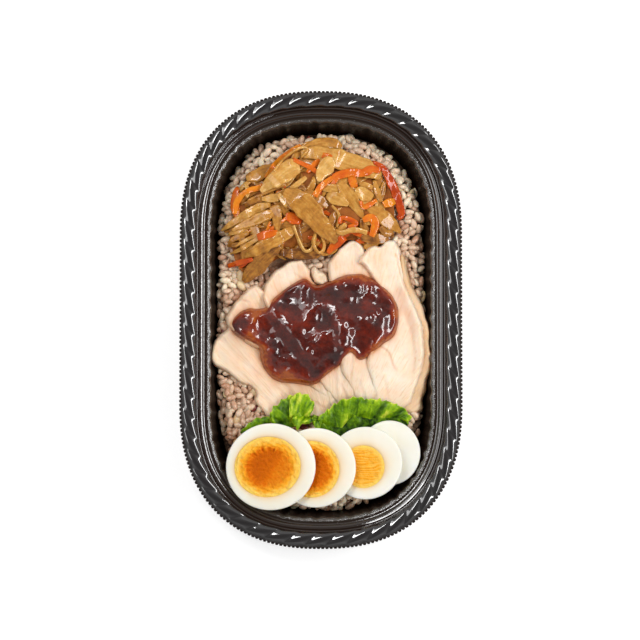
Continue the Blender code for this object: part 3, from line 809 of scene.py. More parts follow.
def scatter(name, grain, laid, finish, slot, *nodes):
    """Copies of the grain at each place, joined as one mesh, each with its own tone."""
    mesh = bpy.data.meshes.new(name)
    mesh.from_pydata([Vector(place) * MM for place, _, _ in laid], [], [])
    piece = bpy.data.objects.new(name, mesh)
    bpy.context.scene.collection.objects.link(piece)
    turns = mesh.attributes.new("turn", "FLOAT_VECTOR", "POINT")
    turns.data.foreach_set("vector", np.array([tuple(turn) for _, turn, _ in laid]).ravel())
    mark(piece, "size", np.array([size for _, _, size in laid]))
    places = np.array([place for place, _, _ in laid])
    # besides random patches, the grains are painted paler towards the back of the tray, a painted light
    patchy = 0.4 * lumps(places, 9.0, 6) - 0.25 * eased(places[:, 1], 40, 75)
    mark(piece, "tone", np.clip(0.25 + patchy + 0.6 * np.array([CHANCE.random() for _ in laid]), 0, 1))
    tree = bpy.data.node_groups.new("copies", "GeometryNodeTree")
    tree.interface.new_socket("Geometry", in_out="INPUT", socket_type="NodeSocketGeometry")
    tree.interface.new_socket("Geometry", in_out="OUTPUT", socket_type="NodeSocketGeometry")
    given, result = tree.nodes.new("NodeGroupInput"), tree.nodes.new("NodeGroupOutput")
    source = node(tree, "GeometryNodeObjectInfo", {"Object": grain}).outputs["Geometry"]
    turn = node(tree, "GeometryNodeInputNamedAttribute", {"Name": "turn"}, data_type="FLOAT_VECTOR")
    size = node(tree, "GeometryNodeInputNamedAttribute", {"Name": "size"}, data_type="FLOAT")
    copies = node(tree, "GeometryNodeInstanceOnPoints", {
        "Points": given.outputs[0], "Instance": source,
        "Rotation": turn.outputs["Attribute"], "Scale": size.outputs["Attribute"]})
    realized = node(tree, "GeometryNodeRealizeInstances", {"Geometry": copies.outputs["Instances"]})
    tree.links.new(realized.outputs["Geometry"], result.inputs[0])
    modify(piece, "NODES", node_group=tree)
    return done(piece, finish, slot, *nodes)


def new_grain(name, radii, segments, rings):
    """One grain, a little fuller at one end."""
    deselect()
    bpy.ops.mesh.primitive_uv_sphere_add(segments=segments, ring_count=rings, radius=1.0)
    grain = bpy.context.object
    grain.name = name
    grain.rotation_euler = (0, math.pi / 2, 0)
    set_place(grain)
    points = points_of(grain) * MM
    fuller = 1 + 0.12 * points[:, :1]
    points[:, 1:] *= fuller
    set_points(grain, points * np.array(radii))
    return grain


def make_rice(ground, finishes):
    core = copy_of("rice", "rice_core")
    soften(core, 1.0, 4)
    points, normals = points_of(core), normals_of(core)
    high = eased(points[:, 2], 8, 15)
    points -= normals * (high * 2.3)[:, None]
    points[:, :2] *= 1 - 0.055 * high[:, None]
    points += normals * (0.5 * high * lumps(points, 3.2))[:, None]
    set_points(core, points)
    # painted shade: the core's colour turns dark brown where it lies low, by the wall and under the grains
    mark(core, "tone", 1.1 - 0.9 * eased(points[:, 2], 11, 16))

    roof = Heights()
    roof.add(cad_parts["rice"])
    ground.add(core)
    ceiling = Heights()
    ceiling.z[:] = 1e3
    covered = ["burdock_carrot_heap", "lettuce_left", "lettuce_middle", "lettuce_right"]
    covered += [f"chicken_slice_{k}" for k in range(1, 7)] + [f"egg_white_{k}" for k in range(1, 5)]
    for name in covered:
        for i, j, z in ceiling.cast(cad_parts[name], upwards=True):
            ceiling.z[i, j] = min(ceiling.z[i, j], z)

    open_cells = (ceiling.z > 100) & (roof.z > 0)
    near = open_cells.copy()
    for _ in range(12):
        near = near | np.roll(near, 1, 0) | np.roll(near, -1, 0) | np.roll(near, 1, 1) | np.roll(near, -1, 1)
    near &= roof.z > 14
    cells = np.argwhere(near)

    def hollows(count):
        """Places picked from where the heap is still well under its top."""
        open_places = cells[(roof.z - ground.z)[tuple(cells.T)] > 1.0]
        count = min(count, len(open_places))
        chosen = [open_places[CHANCE.randrange(len(open_places))] for _ in range(count)]
        return [(roof.x0 + i * roof.CELL, roof.y0 + j * roof.CELL) for i, j in chosen]

    rice = new_grain("one_rice_grain", RICE_RADII, 8, 7)
    barley = new_grain("one_barley_grain", BARLEY_RADII, 10, 8)
    groups = {"rice": [], "barley": [], "red": []}
    for _ in range(HANDFULS):
        for kind, count, radii in (("barley", 16, BARLEY_RADII), ("red", 2, RICE_RADII),
                                   ("rice", 260, RICE_RADII)):
            groups[kind] += settle(ground, roof, ceiling, hollows(count), radii, TRIES)
    done(core, finishes["core"], "rice", "rice")
    for name, kind, grain, radii in (("rice_grains", "rice", rice, RICE_RADII),
                                     ("barley_grains", "barley", barley, BARLEY_RADII),
                                     ("red_rice_grains", "red", rice, RICE_RADII)):
        scatter(name, grain, kept_inside(groups[kind], radii), finishes[kind], "rice")
    for grain in (rice, barley):
        bpy.data.objects.remove(grain)
    ground.z = np.maximum(ground.z, roof.z)


# ---------------------------------------------------------------- burdock and carrot

# Each strip: its kind, its tone from 0, pale, to 1, dark, its roll in degrees, and points
# along its middle with its width there. A strip lies on those before it.
STRIPS = [
    ("burdock", 0.6, 0, [(-46.5, 38, 1.6), (-42, 41, 3.4), (-36, 43.5, 3)]),
    ("burdock", 0.35, 0, [(-46, 42.5, 1.4), (-41, 44, 3), (-36, 46.5, 2.6)]),
    ("carrot", 0.65, 0, [(13, 45.5, 3), (19, 43, 4.4), (26, 41.5, 3.6), (30, 41, 2)]),
    ("burdock", 0.8, 0, [(20, 40.5, 3), (26.5, 39.8, 5.4), (33, 41.2, 5), (36, 43, 2.4)]),
    ("burdock", 0.55, 0, [(-8.6, 84.6, 3.3), (-1.9, 87.9, 6), (5.4, 88.3, 6.4), (10.4, 86.3, 2.7)]),
    ("burdock", 0.35, 0, [(-10, 82.3, 4), (-1.9, 83.3, 7.4), (6.8, 80.6, 10), (15.5, 77.9, 10.7),
        (23.5, 75.2, 9.4), (29.9, 71.2, 4)]),
    ("burdock", 0.9, 0, [(-20.7, 32.7, 3.3), (-12.7, 33, 5.7), (-3.3, 32.4, 5), (-0.3, 32.7, 2.7)]),
    ("burdock", 0.75, 0, [(-38.8, 19, 2.7), (-34.1, 24.3, 8), (-28.1, 30.4, 8.4), (-23.4, 34.4, 6),
        (-20.7, 36.4, 3.3)]),
    ("burdock", 0.55, 0, [(-37.4, 70.5, 3.3), (-32.7, 71.9, 6.7), (-27.4, 74.6, 6), (-24, 76.6, 3.3)]),
    ("carrot", 0.15, 30, [(-43.1, 52.5, 2.7), (-42.1, 58.5, 4), (-37.4, 63.5, 3.3), (-28.7, 66.2, 3.7)]),
    ("burdock", 0.75, 0, [(-37.8, 56.5, 2), (-33.4, 59.2, 4.7), (-28.7, 60.5, 4)]),
    ("burdock", 0.7, 0, [(-10, 62.5, 2.7), (-3.3, 60.5, 6), (4.1, 56.5, 4)]),
    ("carrot", 0.7, 0, [(12.1, 41.1, 4), (7.4, 37.7, 4.7), (3.4, 33, 2)]),
    ("burdock", 0.25, 0, [(-30.1, 63.5, 2), (-24.7, 67.9, 7.4), (-18.7, 72.5, 10), (-14, 75.2, 10),
        (-10.5, 75.8, 6)]),
    ("carrot", 0.2, 10, [(-27.4, 70.5, 2.3), (-23.4, 76.6, 2.7), (-18, 82.6, 2.3), (-10, 87.3, 1.7)]),
    ("burdock", 0.3, 60, [(-23.4, 73.2, 1.6), (-18, 80.6, 1.7), (-10.6, 85.6, 1.7), (-6.6, 84.9, 1.7),
        (-10, 80.6, 1.3)]),
    ("carrot", 0.5, 0, [(-14.7, 79.9, 2), (-7.3, 76.6, 2.5), (-1.6, 72.9, 2.3)]),
    ("carrot", 0.45, 0, [(0.4, 82.3, 2.7), (3.4, 80.9, 4.2), (6.8, 78.9, 2.3)]),
    ("burdock", 0.15, 0, [(-0.9, 68.2, 2.7), (0.7, 73.2, 7.4), (4.1, 77.2, 8.4), (6.8, 78.6, 4)]),
    ("burdock", 0.45, 0, [(18.8, 67.9, 2), (22.2, 67.2, 3), (26.2, 65.8, 2)]),
    ("carrot", 0.35, 0, [(15.1, 71.2, 4), (16.1, 67.9, 4.4), (17.1, 64.8, 3.3)]),
    ("burdock", 0.25, 0, [(16.8, 62.5, 4), (20.8, 62.5, 7.7), (25.9, 60.5, 4)]),
    ("burdock", 0.5, 0, [(26.5, 69.9, 1.7), (28.2, 63.8, 3.2), (30.2, 58.5, 2)]),
    ("burdock", 0.45, 0, [(8.8, 67.9, 3.3), (12.1, 63.8, 6.7), (16.1, 58.5, 6.2), (19.5, 53.1, 4),
        (21.4, 49.8, 0.9)]),
    ("carrot", 0.45, 0, [(4.4, 66.2, 3.3), (8.1, 71.2, 4.3), (14.1, 73.2, 4.4), (20.8, 72.9, 4.4),
        (25.5, 74.9, 4), (29.9, 73.9, 2)]),
    ("carrot", 0.3, 0, [(-3.3, 60.8, 3.2), (0.7, 66.5, 3.3), (5.8, 70.5, 2.4)]),
    ("carrot", 0.9, 0, [(24.7, 79.4, 1.1), (30.9, 75.9, 3), (34.9, 69.2, 4.6), (38.2, 61.2, 4.4),
        (40.4, 53.1, 3.7), (38.1, 50.8, 2)]),
    ("burdock", 0.5, 0, [(22.5, 55.5, 1.7), (27.5, 53.8, 6), (33.6, 49.1, 7.5), (39.9, 43.6, 1.5)]),
    ("carrot", 0.4, 0, [(19.5, 58.8, 1.9), (21, 55.7, 2.5), (24.2, 57.1, 2.5), (27.9, 59.5, 2)]),
    ("carrot", 0.1, 0, [(31.2, 57.1, 3.3), (34.2, 58.5, 4.8), (37.2, 59.5, 2.7)]),
    ("burdock", 0.35, 0, [(2.7, 61.5, 2.4), (6.8, 60.2, 7), (13.8, 56.6, 2)]),
    ("burdock", 0.4, 40, [(5.4, 56.5, 1.6), (9.1, 51.8, 1.7), (8, 45.4, 1.3)]),
    ("carrot", 0.55, 35, [(9.4, 47.1, 2.4), (9.8, 50.1, 2.7), (13.5, 49.9, 2.7), (17.8, 47.4, 2.7),
        (13.5, 45.6, 2.3)]),
    ("carrot", 0.35, 10, [(20.8, 49.1, 2.7), (25.5, 50.4, 4.7), (26.9, 46.4, 4.4), (25.2, 41.1, 2.7)]),
    ("burdock", 0.3, 20, [(6.8, 44.3, 1.6), (10.1, 42.9, 2.4), (16.8, 44.3, 2.5), (23.2, 43.1, 2.7)]),
    ("burdock", 0.7, 0, [(29.5, 45.8, 2.7), (32.9, 43.1, 4), (36.2, 43.8, 2)]),
    ("burdock", 0.3, 0, [(-29.7, 59.8, 1.7), (-24.7, 60.2, 4.7), (-20.7, 59.8, 3.3)]),
    ("burdock", 0.2, 0, [(-21.2, 62.2, 2.4), (-18.7, 58.5, 2.9), (-16.5, 55, 1.3)]),
    ("burdock", 0.55, 0, [(-23.5, 56.6, 5.2), (-22, 51.1, 5.4), (-21.7, 46.4, 3.5), (-21.4, 42.9, 0.9)]),
    ("carrot", 0.6, 0, [(-17.7, 51.1, 3.7), (-14, 50.3, 6.2), (-9.8, 48.1, 3.1)]),
    ("burdock", 0.4, 0, [(-49.8, 44.6, 1.1), (-44.8, 47.8, 3.3), (-36.8, 52.5, 4.8), (-30.1, 55.8, 4.3),
        (-24.8, 57.1, 2)]),
    ("burdock", 0.45, 0, [(-44.5, 44.1, 1.1), (-40.1, 46.4, 3.3), (-32.7, 49.1, 5.4), (-26.7, 51.8, 5.4),
        (-23.9, 53.1, 2.7)]),
    ("burdock", 0.35, 0, [(-42.8, 36.1, 0.8), (-37.4, 39.4, 1.9), (-30.7, 42.1, 1.7)]),
    ("burdock", 0.4, 0, [(-45.5, 33, 0.8), (-40.1, 34.7, 2.3), (-33.4, 38.7, 2.5), (-27.7, 41.7, 2)]),
    ("carrot", 0.55, 0, [(-31.7, 40.4, 3.7), (-27.4, 41.6, 4.8), (-21.4, 43.1, 2)]),
    ("burdock", 0.5, 0, [(-38.1, 30.9, 1.7), (-31.4, 34.4, 5.9), (-23.4, 38.4, 6.2), (-16.7, 42.4, 5.6),
        (-12.5, 45.2, 3.1)]),
    ("carrot", 0.8, 0, [(-46.7, 27, 2.3), (-40.1, 28.4, 3.1), (-33.9, 29.7, 1.9)]),
    ("burdock", 0.2, 62, [(-13.7, 46.4, 2.3), (-11.3, 39.7, 2.4), (-8.1, 34, 2.4), (-4.6, 35, 2.4),
        (-3, 39.4, 2.4), (-2.5, 43.1, 2)]),
    ("burdock", 0.3, 62, [(-2.5, 43.1, 2.3), (-3.9, 37.7, 2.4), (-1.1, 33, 2.4), (1.5, 35, 2.4),
        (1, 40.1, 2.4), (-1.1, 43.1, 2)]),
    ("burdock", 0.56, 0, [(-18.7, 62.8, 4), (-12.7, 59.8, 10), (-6.6, 54.5, 11.5), (-1.3, 48.4, 10),
        (3.4, 43.1, 7.5), (7.6, 38.1, 2.7)]),
]
STRIP_THICKNESS = 0.9
HEAP_COVER = 2.9  # how deep the heap's core lies under its strips
SMALL_STRIPS = 200  # tries at placing one under the large ones
HEAP_FOOT, HEAP_PRESS = 24.0, 0.6  # the height above which the heap is pressed down, and to what share


def laid_over(ground, rounds):
    """A line that lies on a row of heights as a slightly stiff strip does."""
    z = ground.copy()
    for _ in range(rounds):
        smooth = z.copy()
        smooth[1:-1] = (z[:-2] + 2 * z[1:-1] + z[2:]) / 4
        z = np.maximum(ground, smooth)
    return z


def make_strip(ground, tone, roll, line, step=1.1):
    """One shaved strip, laid on the ground, which it then becomes part of."""
    rows = curve_through(line, step)
    middle, width = rows[:, :2], np.maximum(rows[:, 2], 0.7)
    along = np.gradient(middle, axis=0)
    along /= np.maximum(np.hypot(*along.T), 1e-6)[:, None]
    side = np.column_stack([-along[:, 1], along[:, 0]])
    lean = math.radians(roll)
    flat = width / 2 * math.cos(lean)
    heights = []
    for share in (-1, -0.5, 0, 0.5, 1):
        spot = middle + side * (flat * share)[:, None]
        heights.append(laid_over(ground.at(*spot.T), 14))
    left, right, centre = heights[0], heights[4], np.max(heights[1:4], axis=0)
    slope = np.clip((right - left) / np.maximum(2 * flat, 1), -0.45, 0.45)
    slope = np.convolve(np.pad(slope, 3, mode="edge"), np.ones(7) / 7, "valid")
    rest = np.maximum(centre, np.maximum(left + slope * flat, right - slope * flat))
    rest = laid_over(rest, 8) + width / 2 * math.sin(lean) + STRIP_THICKNESS * 0.3

    count = len(rows)
    deselect()
    bpy.ops.mesh.primitive_grid_add(x_subdivisions=count - 1, y_subdivisions=4, size=2)
    strip = bpy.context.object
    points = points_of(strip) * MM
    k = np.rint((points[:, 0] + 1) / 2 * (count - 1)).astype(int)
    across = points[:, 1]
    cup = CHANCE.uniform(-0.5, 0.5)
    wave = 0.25 * lumps(np.column_stack([k * step, across * 3, np.full(len(k), CHANCE.uniform(0, 90))]), 4.0)
    edge = np.column_stack([k * step, np.sign(across) * 9, np.full(len(k), CHANCE.uniform(0, 90))])
    edge = 1 + 0.16 * lumps(edge, 3.0)
    offset = across * width[k] / 2 * edge
    lift = rest[k] + slope[k] * offset * math.cos(lean) + offset * math.sin(lean)
    lift += cup * (across ** 2 - 0.4) + wave
    placed = np.column_stack([middle[k] + side[k] * (offset * math.cos(lean))[:, None], lift])
    set_points(strip, placed)
    shift = CHANCE.uniform(0, 1)
    uv = strip.data.uv_layers[0].data
    for loop in strip.data.loops:
        v = loop.vertex_index
        uv[loop.index].uv = (k[v] * step * MM + shift, offset[v] * MM + shift)
    modify(strip, "SOLIDIFY", thickness=STRIP_THICKNESS * MM, offset=0.0)
    modify(strip, "SUBSURF", levels=1, render_levels=1)
    mark(strip, "tone", tone)
    for share in np.linspace(-1, 1, 9):
        spot = middle + side * (flat * share)[:, None]
        top = rest + slope * flat * share + abs(width / 2 * math.sin(lean)) + STRIP_THICKNESS * 0.5
        ground.raise_to(spot[:, 0], spot[:, 1], top)
    return strip


def pressed(heights):
    """The strips' heights once their own weight has pressed the heap down."""
    return np.minimum(heights, HEAP_FOOT) + HEAP_PRESS * np.maximum(heights - HEAP_FOOT, 0)


def make_heap(ground, finishes):
    core = copy_of("burdock_carrot_heap", "heap_core")
    soften(core, 0.9, 4)
    points, normals = points_of(core), normals_of(core)
    points -= normals * HEAP_COVER
    points += normals * (0.7 * lumps(points, 4.0))[:, None]
    set_points(core, points)
    mark(core, "tone", 0.95)
    ground.add(core)
    outline = Heights()
    outline.add(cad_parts["burdock_carrot_heap"])
    cells = np.argwhere(outline.z > 22)
    made = {"burdock": [], "carrot": []}
    for number in range(SMALL_STRIPS):
        i, j = cells[CHANCE.randrange(len(cells))]
        x, y = outline.x0 + i * outline.CELL, outline.y0 + j * outline.CELL
        turn, length = CHANCE.gauss(0.5, 0.9), CHANCE.uniform(4, 10)
        bend = CHANCE.gauss(0, 1.5)
        wide = CHANCE.uniform(1.6, 5)
        line = []
        for t, share in ((-1, 0.5), (-0.4, 1.0), (0.5, 0.9), (1, 0.3)):
            dx, dy = t * length, bend * (1 - t * t)
            line.append((x + dx * math.cos(turn) - dy * math.sin(turn),
                         y + dx * math.sin(turn) + dy * math.cos(turn), wide * share))
        if any(outline.at(px, py) < 20.5 for px, py, _ in line):
            continue
        kind = "carrot" if number % 5 == 0 else "burdock"
        tone, roll = CHANCE.uniform(0.25, 0.85), CHANCE.choice((0, 0, 25, -25))
        made[kind].append(make_strip(ground, tone, roll, line, 1.8))
    for kind, tone, roll, line in STRIPS:
        made[kind].append(make_strip(ground, tone, roll, line))
    done(core, finishes["core"], "burdock_carrot", "burdock_carrot_heap")
    ground.z = pressed(ground.z)
    for kind, strips in made.items():
        for strip in strips:
            points = points_of(strip)
            points[:, 2] = pressed(points[:, 2])
            set_points(strip, points)
        done(joined(strips, f"{kind}_strips"), finishes[kind], "burdock_carrot")


# ---------------------------------------------------------------- chicken and sauce

# The outline of each slice, which spreads from the fan's pivot, and how dull its colour is, a darker tan that is
# partly painted shade, most on the outer slices.
CHICKEN = {
    6: (0.85, [(40, 34), (42, 31.5), (42.8, 27.8), (43.4, 24.2), (45.2, 18.3), (47.2, 14.6), (49.6, 10.2),
               (51.2, 6.6), (52.4, 2.2), (53.7, -1.5), (54.5, -5.9), (55, -12.5), (55, -19.8),
               (54.2, -27.2), (52.6, -35.3), (51, -39.7), (51.4, -41.9), (50.8, -45), (46.8, -46.8),
               (42, -45.5), (42, -40), (46, -25), (46.5, -10), (43, 8), (39, 24)]),
    1: (0.36, [(-45, -1), (-47.6, -5.2), (-52, -8.1), (-54.4, -13), (-55, -18.4), (-53.4, -22.8),
               (-47.6, -26.1), (-44, -29), (-40, -32), (-35.4, -33.6), (-32.6, -37.5), (-33, -40),
               (-31.5, -42.8), (-28.8, -46.6), (-25, -49), (-14, -51), (-2, -51.5), (8, -50), (10, -44),
               (2, -36), (-6, -28), (-22, -14), (-35, -4)]),
    2: (0.24, [(-29.4, 16.1), (-32, 17.8), (-35.6, 16.6), (-38.6, 13.4), (-43, 9), (-45, 5.8), (-47, 2.9),
               (-48.4, 0.2), (-46, -4.5), (-36, -12.5), (-22, -21), (-7.6, -32), (1.9, -38.5), (5.2, -44),
               (7, -49.5), (12, -49), (14, -42), (8, -30), (-2, -14), (-14, 2), (-24, 12)]),
    3: (0.14, [(-28.3, 15.4), (-27.4, 18.5), (-24.8, 22), (-22.4, 24.9), (-18, 27.4), (-15.1, 29.5),
               (-10.7, 30.4), (-8.5, 29.9), (-7, 27.1), (-5.6, 24.5), (-4, 20), (4, 12), (12, 0), (18, -16),
               (23, -32), (22, -46), (17, -49.5), (11.5, -48), (7.4, -41), (0.9, -33.3), (-10, -20),
               (-22, -4), (-28.6, 8)]),
    4: (0.12, [(3.6, 19), (3.2, 22.7), (2.9, 27.1), (4, 30), (6.9, 33.2), (9.8, 36.1), (12.8, 38.7),
               (15.7, 39.8), (18.6, 39), (20.8, 36.8), (22.3, 34.6), (24, 30), (27, 22), (30, 10),
               (30, -8), (28, -24), (30, -38), (29, -47), (24, -49.5), (19.5, -47), (16.7, -38.2),
               (13.5, -32), (10.2, -26), (7, -10), (4, 6)]),
    5: (0.0, [(22.3, 34.4), (23.8, 36.1), (26.7, 37.6), (29.6, 37.2), (31.5, 39), (34, 40.1), (37, 39.8),
              (38.6, 37.4), (40.1, 34.4), (40.5, 29), (41.2, 23), (42.7, 17), (45.2, 10.5), (48.2, 4),
              (50.6, -3), (51.6, -12.5), (51.2, -21.3), (49.6, -28), (47.6, -34.5), (45, -41), (40.4, -45),
              (33, -48), (28, -46), (26.4, -36.5), (24.3, -28), (22.9, -22), (25, -8), (30, 6), (29, 14),
              (26.7, 18.3), (24.5, 22), (22.3, 25.6), (19, 28.5), (20.5, 32)]),
}
# Folds and cracks: the slice, a line, its width, its depth and how much oil it holds.
CREASES = [
    (5, [(28.2, -13), (33.4, -16.5), (35.9, -23), (37.9, -26)], 0.45, 0.9, 0.35),
    (5, [(37, 33), (38.2, 29.7), (39.4, 23.4), (40.6, 19.8), (42.4, 14.6)], 0.5, 1.1, 0.3),
    (5, [(26.4, 32.2), (26.8, 28), (28.4, 24)], 0.7, 0.5, 0.12),
    (5, [(40, 8), (43, 4), (45.5, -3), (46, -8)], 2.2, 0.0, 0.3),
    (5, [(38, 16), (40, 10), (41, 4)], 2.5, 0.0, 0.22),
    (5, [(41, 4), (45, -8), (46.4, -20), (45, -32)], 0.9, 0.35, 0.1),
    (5, [(31, -28), (33, -36), (34, -42)], 0.8, 0.3, 0.06),
    (4, [(17.5, 28.6), (22.3, 25.6), (24.5, 22), (26.7, 18.3)], 0.6, 0.7, 0.5),
    (4, [(19, -30), (21.5, -38), (22.5, -44)], 0.7, 0.35, 0.08),
    (3, [(-13, 23), (-11.4, 21.6), (-7.8, 19)], 0.5, 0.6, 0.15),
    (3, [(8, -30), (12.5, -38), (14.5, -44)], 0.7, 0.4, 0.12),
    (2, [(-44.5, 9.5), (-40, 9.6), (-35.2, 8.5)], 0.6, 0.6, 0.15),
    (1, [(-12, -38), (-4, -41), (3, -45)], 0.7, 0.5, 0.12),
    (1, [(-40, -20), (-30, -28), (-20, -36), (-12, -44)], 0.9, 0.3, 0.05),
    (1, [(-44, -24), (-36, -30), (-28, -38), (-22, -46)], 0.7, 0.22, 0.04),
]
FAN_PIVOT = (10.0, -75.0)
# Where the overlapping slices stand highest, how far that reaches and how high.
STACK_MIDDLE, STACK_REACH, STACK_HEIGHT = (14.0, -13.0), (44.0, 40.0), 7.0
SLICE_THICKNESS = 3.0
SAUCE = [(38.5, -1), (37.6, 8), (31, 16.5), (22, 22), (13, 22.2), (4, 18.8), (-2.7, 17.2), (-8, 20.5),
         (-17.3, 15.4), (-23.4, 10.5), (-28, 5.6), (-36.4, 5.2), (-42, 2.4), (-45.4, -3), (-42, -8.2),
         (-31.5, -14.5), (-30, -20), (-27.5, -26), (-21, -31.2), (-12, -32.4), (-3, -32.6), (3.3, -27.4),
         (9, -23.2), (14.5, -17), (19.5, -20.5), (25.5, -17.4), (31, -12.4), (36.5, -8.2)]
# Where the sauce lets light through: place, size and how much.
AMBER = [(-24, -28, 6, 0.18), (-8, -31, 5, 0.12), (14.2, -16, 3.5, 0.3), (-37, -1, 8, 0.08),
         (-20, -4, 9, 0.08)]
SCRAP = [(-4.4, 25.4), (-2.6, 26.6), (-0.6, 24.8), (1.6, 24), (3.2, 22), (3.4, 18.6), (0.3, 17.4),
         (-3.8, 20.2)]
HIGHEST = 37.6


def lay(name, outline, ground, drape, ragged, thickness, edge, seed, spacing=0.55):
    """A sheet laid over what is beneath it, as thick as thickness says and rounded at its edge."""
    curve = closed_curve(outline, ragged, seed)
    sheet = new_sheet(name, curve, spacing)
    points = points_of(sheet)
    reach = np.maximum(reach_inside(points[:, :2], curve)[0], 0)
    share = 1 - (1 - np.clip(reach / edge, 0, 1)) ** 2
    points[:, 2] = ground.blurred(drape).between(points[:, 0], points[:, 1]) + thickness(points) * share
    return sheet, points, reach


def close_sheet(sheet, points, ground, thickness=1.0):
    """Sets the sheet's shape, gives it an underside and adds it to what later pieces lie on."""
    points[:, 2] = np.minimum(points[:, 2], HIGHEST)
    set_points(sheet, points)
    modify(sheet, "SOLIDIFY", thickness=thickness * MM, offset=-1)
    ground.add(sheet)


def fan_place(points):
    """Each point's turn about the fan's pivot, as a width at its far end, and its distance from it."""
    x, y = points[:, 0] - FAN_PIVOT[0], points[:, 1] - FAN_PIVOT[1]
    return np.arctan2(x, y) * 80, np.hypot(x, y)


def stack_slices(ground):
    """Raises the middle of what the fan lies on by the parts of the slices that others cover."""
    x = ground.x0 + np.arange(ground.shape[0])[:, None] * ground.CELL
    y = ground.y0 + np.arange(ground.shape[1])[None, :] * ground.CELL
    away = np.hypot((x - STACK_MIDDLE[0]) / STACK_REACH[0], (y - STACK_MIDDLE[1]) / STACK_REACH[1])
    ground.z += STACK_HEIGHT * (1 - eased(away, 0.15, 1.0))


def make_chicken(ground, finish):
    stack_slices(ground)
    edge = closed_curve(SAUCE)
    for number, (dull_and_shade, outline) in CHICKEN.items():
        def thickness(points):
            return 0.5 + 3.7 * eased(fan_place(points)[1], 32, 84)

        meat, points, reach = lay(f"chicken_{number}", outline, ground, 2.6, 0.6, thickness, 2.0, number)
        turn, far = fan_place(points)
        strands = np.column_stack([turn, far * 0.09, np.full(len(turn), number * 5.0)])
        inner = eased(reach, 0, 2)
        points[:, 2] += inner * (0.16 * lumps(strands, 1.1) + 0.42 * lumps(strands, 3.2, 2))
        points[:, 2] += inner * 0.6 * lumps(points, 9.0, number)
        oil = np.zeros(len(points))
        for owner, line, width, depth, stain in CREASES:
            if owner == number:
                near = near_line(points, line, width)
                points[:, 2] -= depth * near
                points[:, 2] += 0.4 * depth * near_line(points, [(x + 1.1, y + 0.3) for x, y in line], 0.9)
                oil = np.maximum(oil, stain * near)
        away = np.maximum(-reach_inside(points[:, :2], edge)[0], 0)
        patchy = 0.75 + 0.5 * lumps(points, 4.0, 9)
        soaked = patchy * (0.5 * np.exp(-away / 0.8) + 0.26 * np.exp(-away / 4.5))
        mark(meat, "stain", np.clip(oil + soaked, 0, 1))
        # painted shade: the dull tan rises towards each slice's rounded edge
        mark(meat, "dull_and_shade", dull_and_shade * (0.8 + 0.3 * lumps(points, 7.0, 4)) + 0.25 * (1 - eased(reach, 0, 1.2)))
        close_sheet(meat, points, ground, SLICE_THICKNESS)
        done(meat, finish, "chicken", f"chicken_slice_{number}")
    scrap, points, reach = lay("chicken_scrap", SCRAP, ground, 2.0, 1.1, lambda points: 2.6, 1.6, 4, 0.4)
    points[:, 2] += eased(reach, 0, 1) * 1.1 * lumps(points, 1.8, 5)
    mark(scrap, "stain", 0.1)
    mark(scrap, "dull_and_shade", 0.15)
    close_sheet(scrap, points, ground)
    done(scrap, finish, "chicken", "chicken_shred")


def make_sauce(ground, finish):
    sauce, points, reach = lay("sauce_pool", SAUCE, ground, 2.6, 0.35, lambda points: 2.4, 2.4, 2, 0.4)
    inner = eased(reach, 0.6, 4.0)
    spots = points * (1, 1, 0)
    chunks = 1.0 * lumps(spots, 8.0) + 0.55 * lumps(spots, 3.4, 3)
    grated = np.clip(0.3 + 2.0 * lumps(spots, 6.0, 12), 0.1, 1.2)
    chunks += grated * (0.2 * lumps(spots, 1.3, 5) + 0.08 * lumps(spots, 0.8, 6))
    points[:, 2] += inner * (0.4 + chunks)
    depth = 0.7 * eased(reach * np.clip(1 + 1.0 * lumps(spots, 9.0, 9), 0.35, 2.5), 0.0, 4.5)
    depth += 0.28 * lumps(spots, 5.0, 8) - 0.1 * chunks
    for x, y, size, share in AMBER:
        depth -= share * np.exp(-((spots[:, 0] - x) ** 2 + (spots[:, 1] - y) ** 2) / size ** 2)
    mark(sauce, "depth", np.clip(depth, 0, 1))
    close_sheet(sauce, points, ground)
    done(sauce, finish, "sauce", "sauce")


# ---------------------------------------------------------------- lettuce

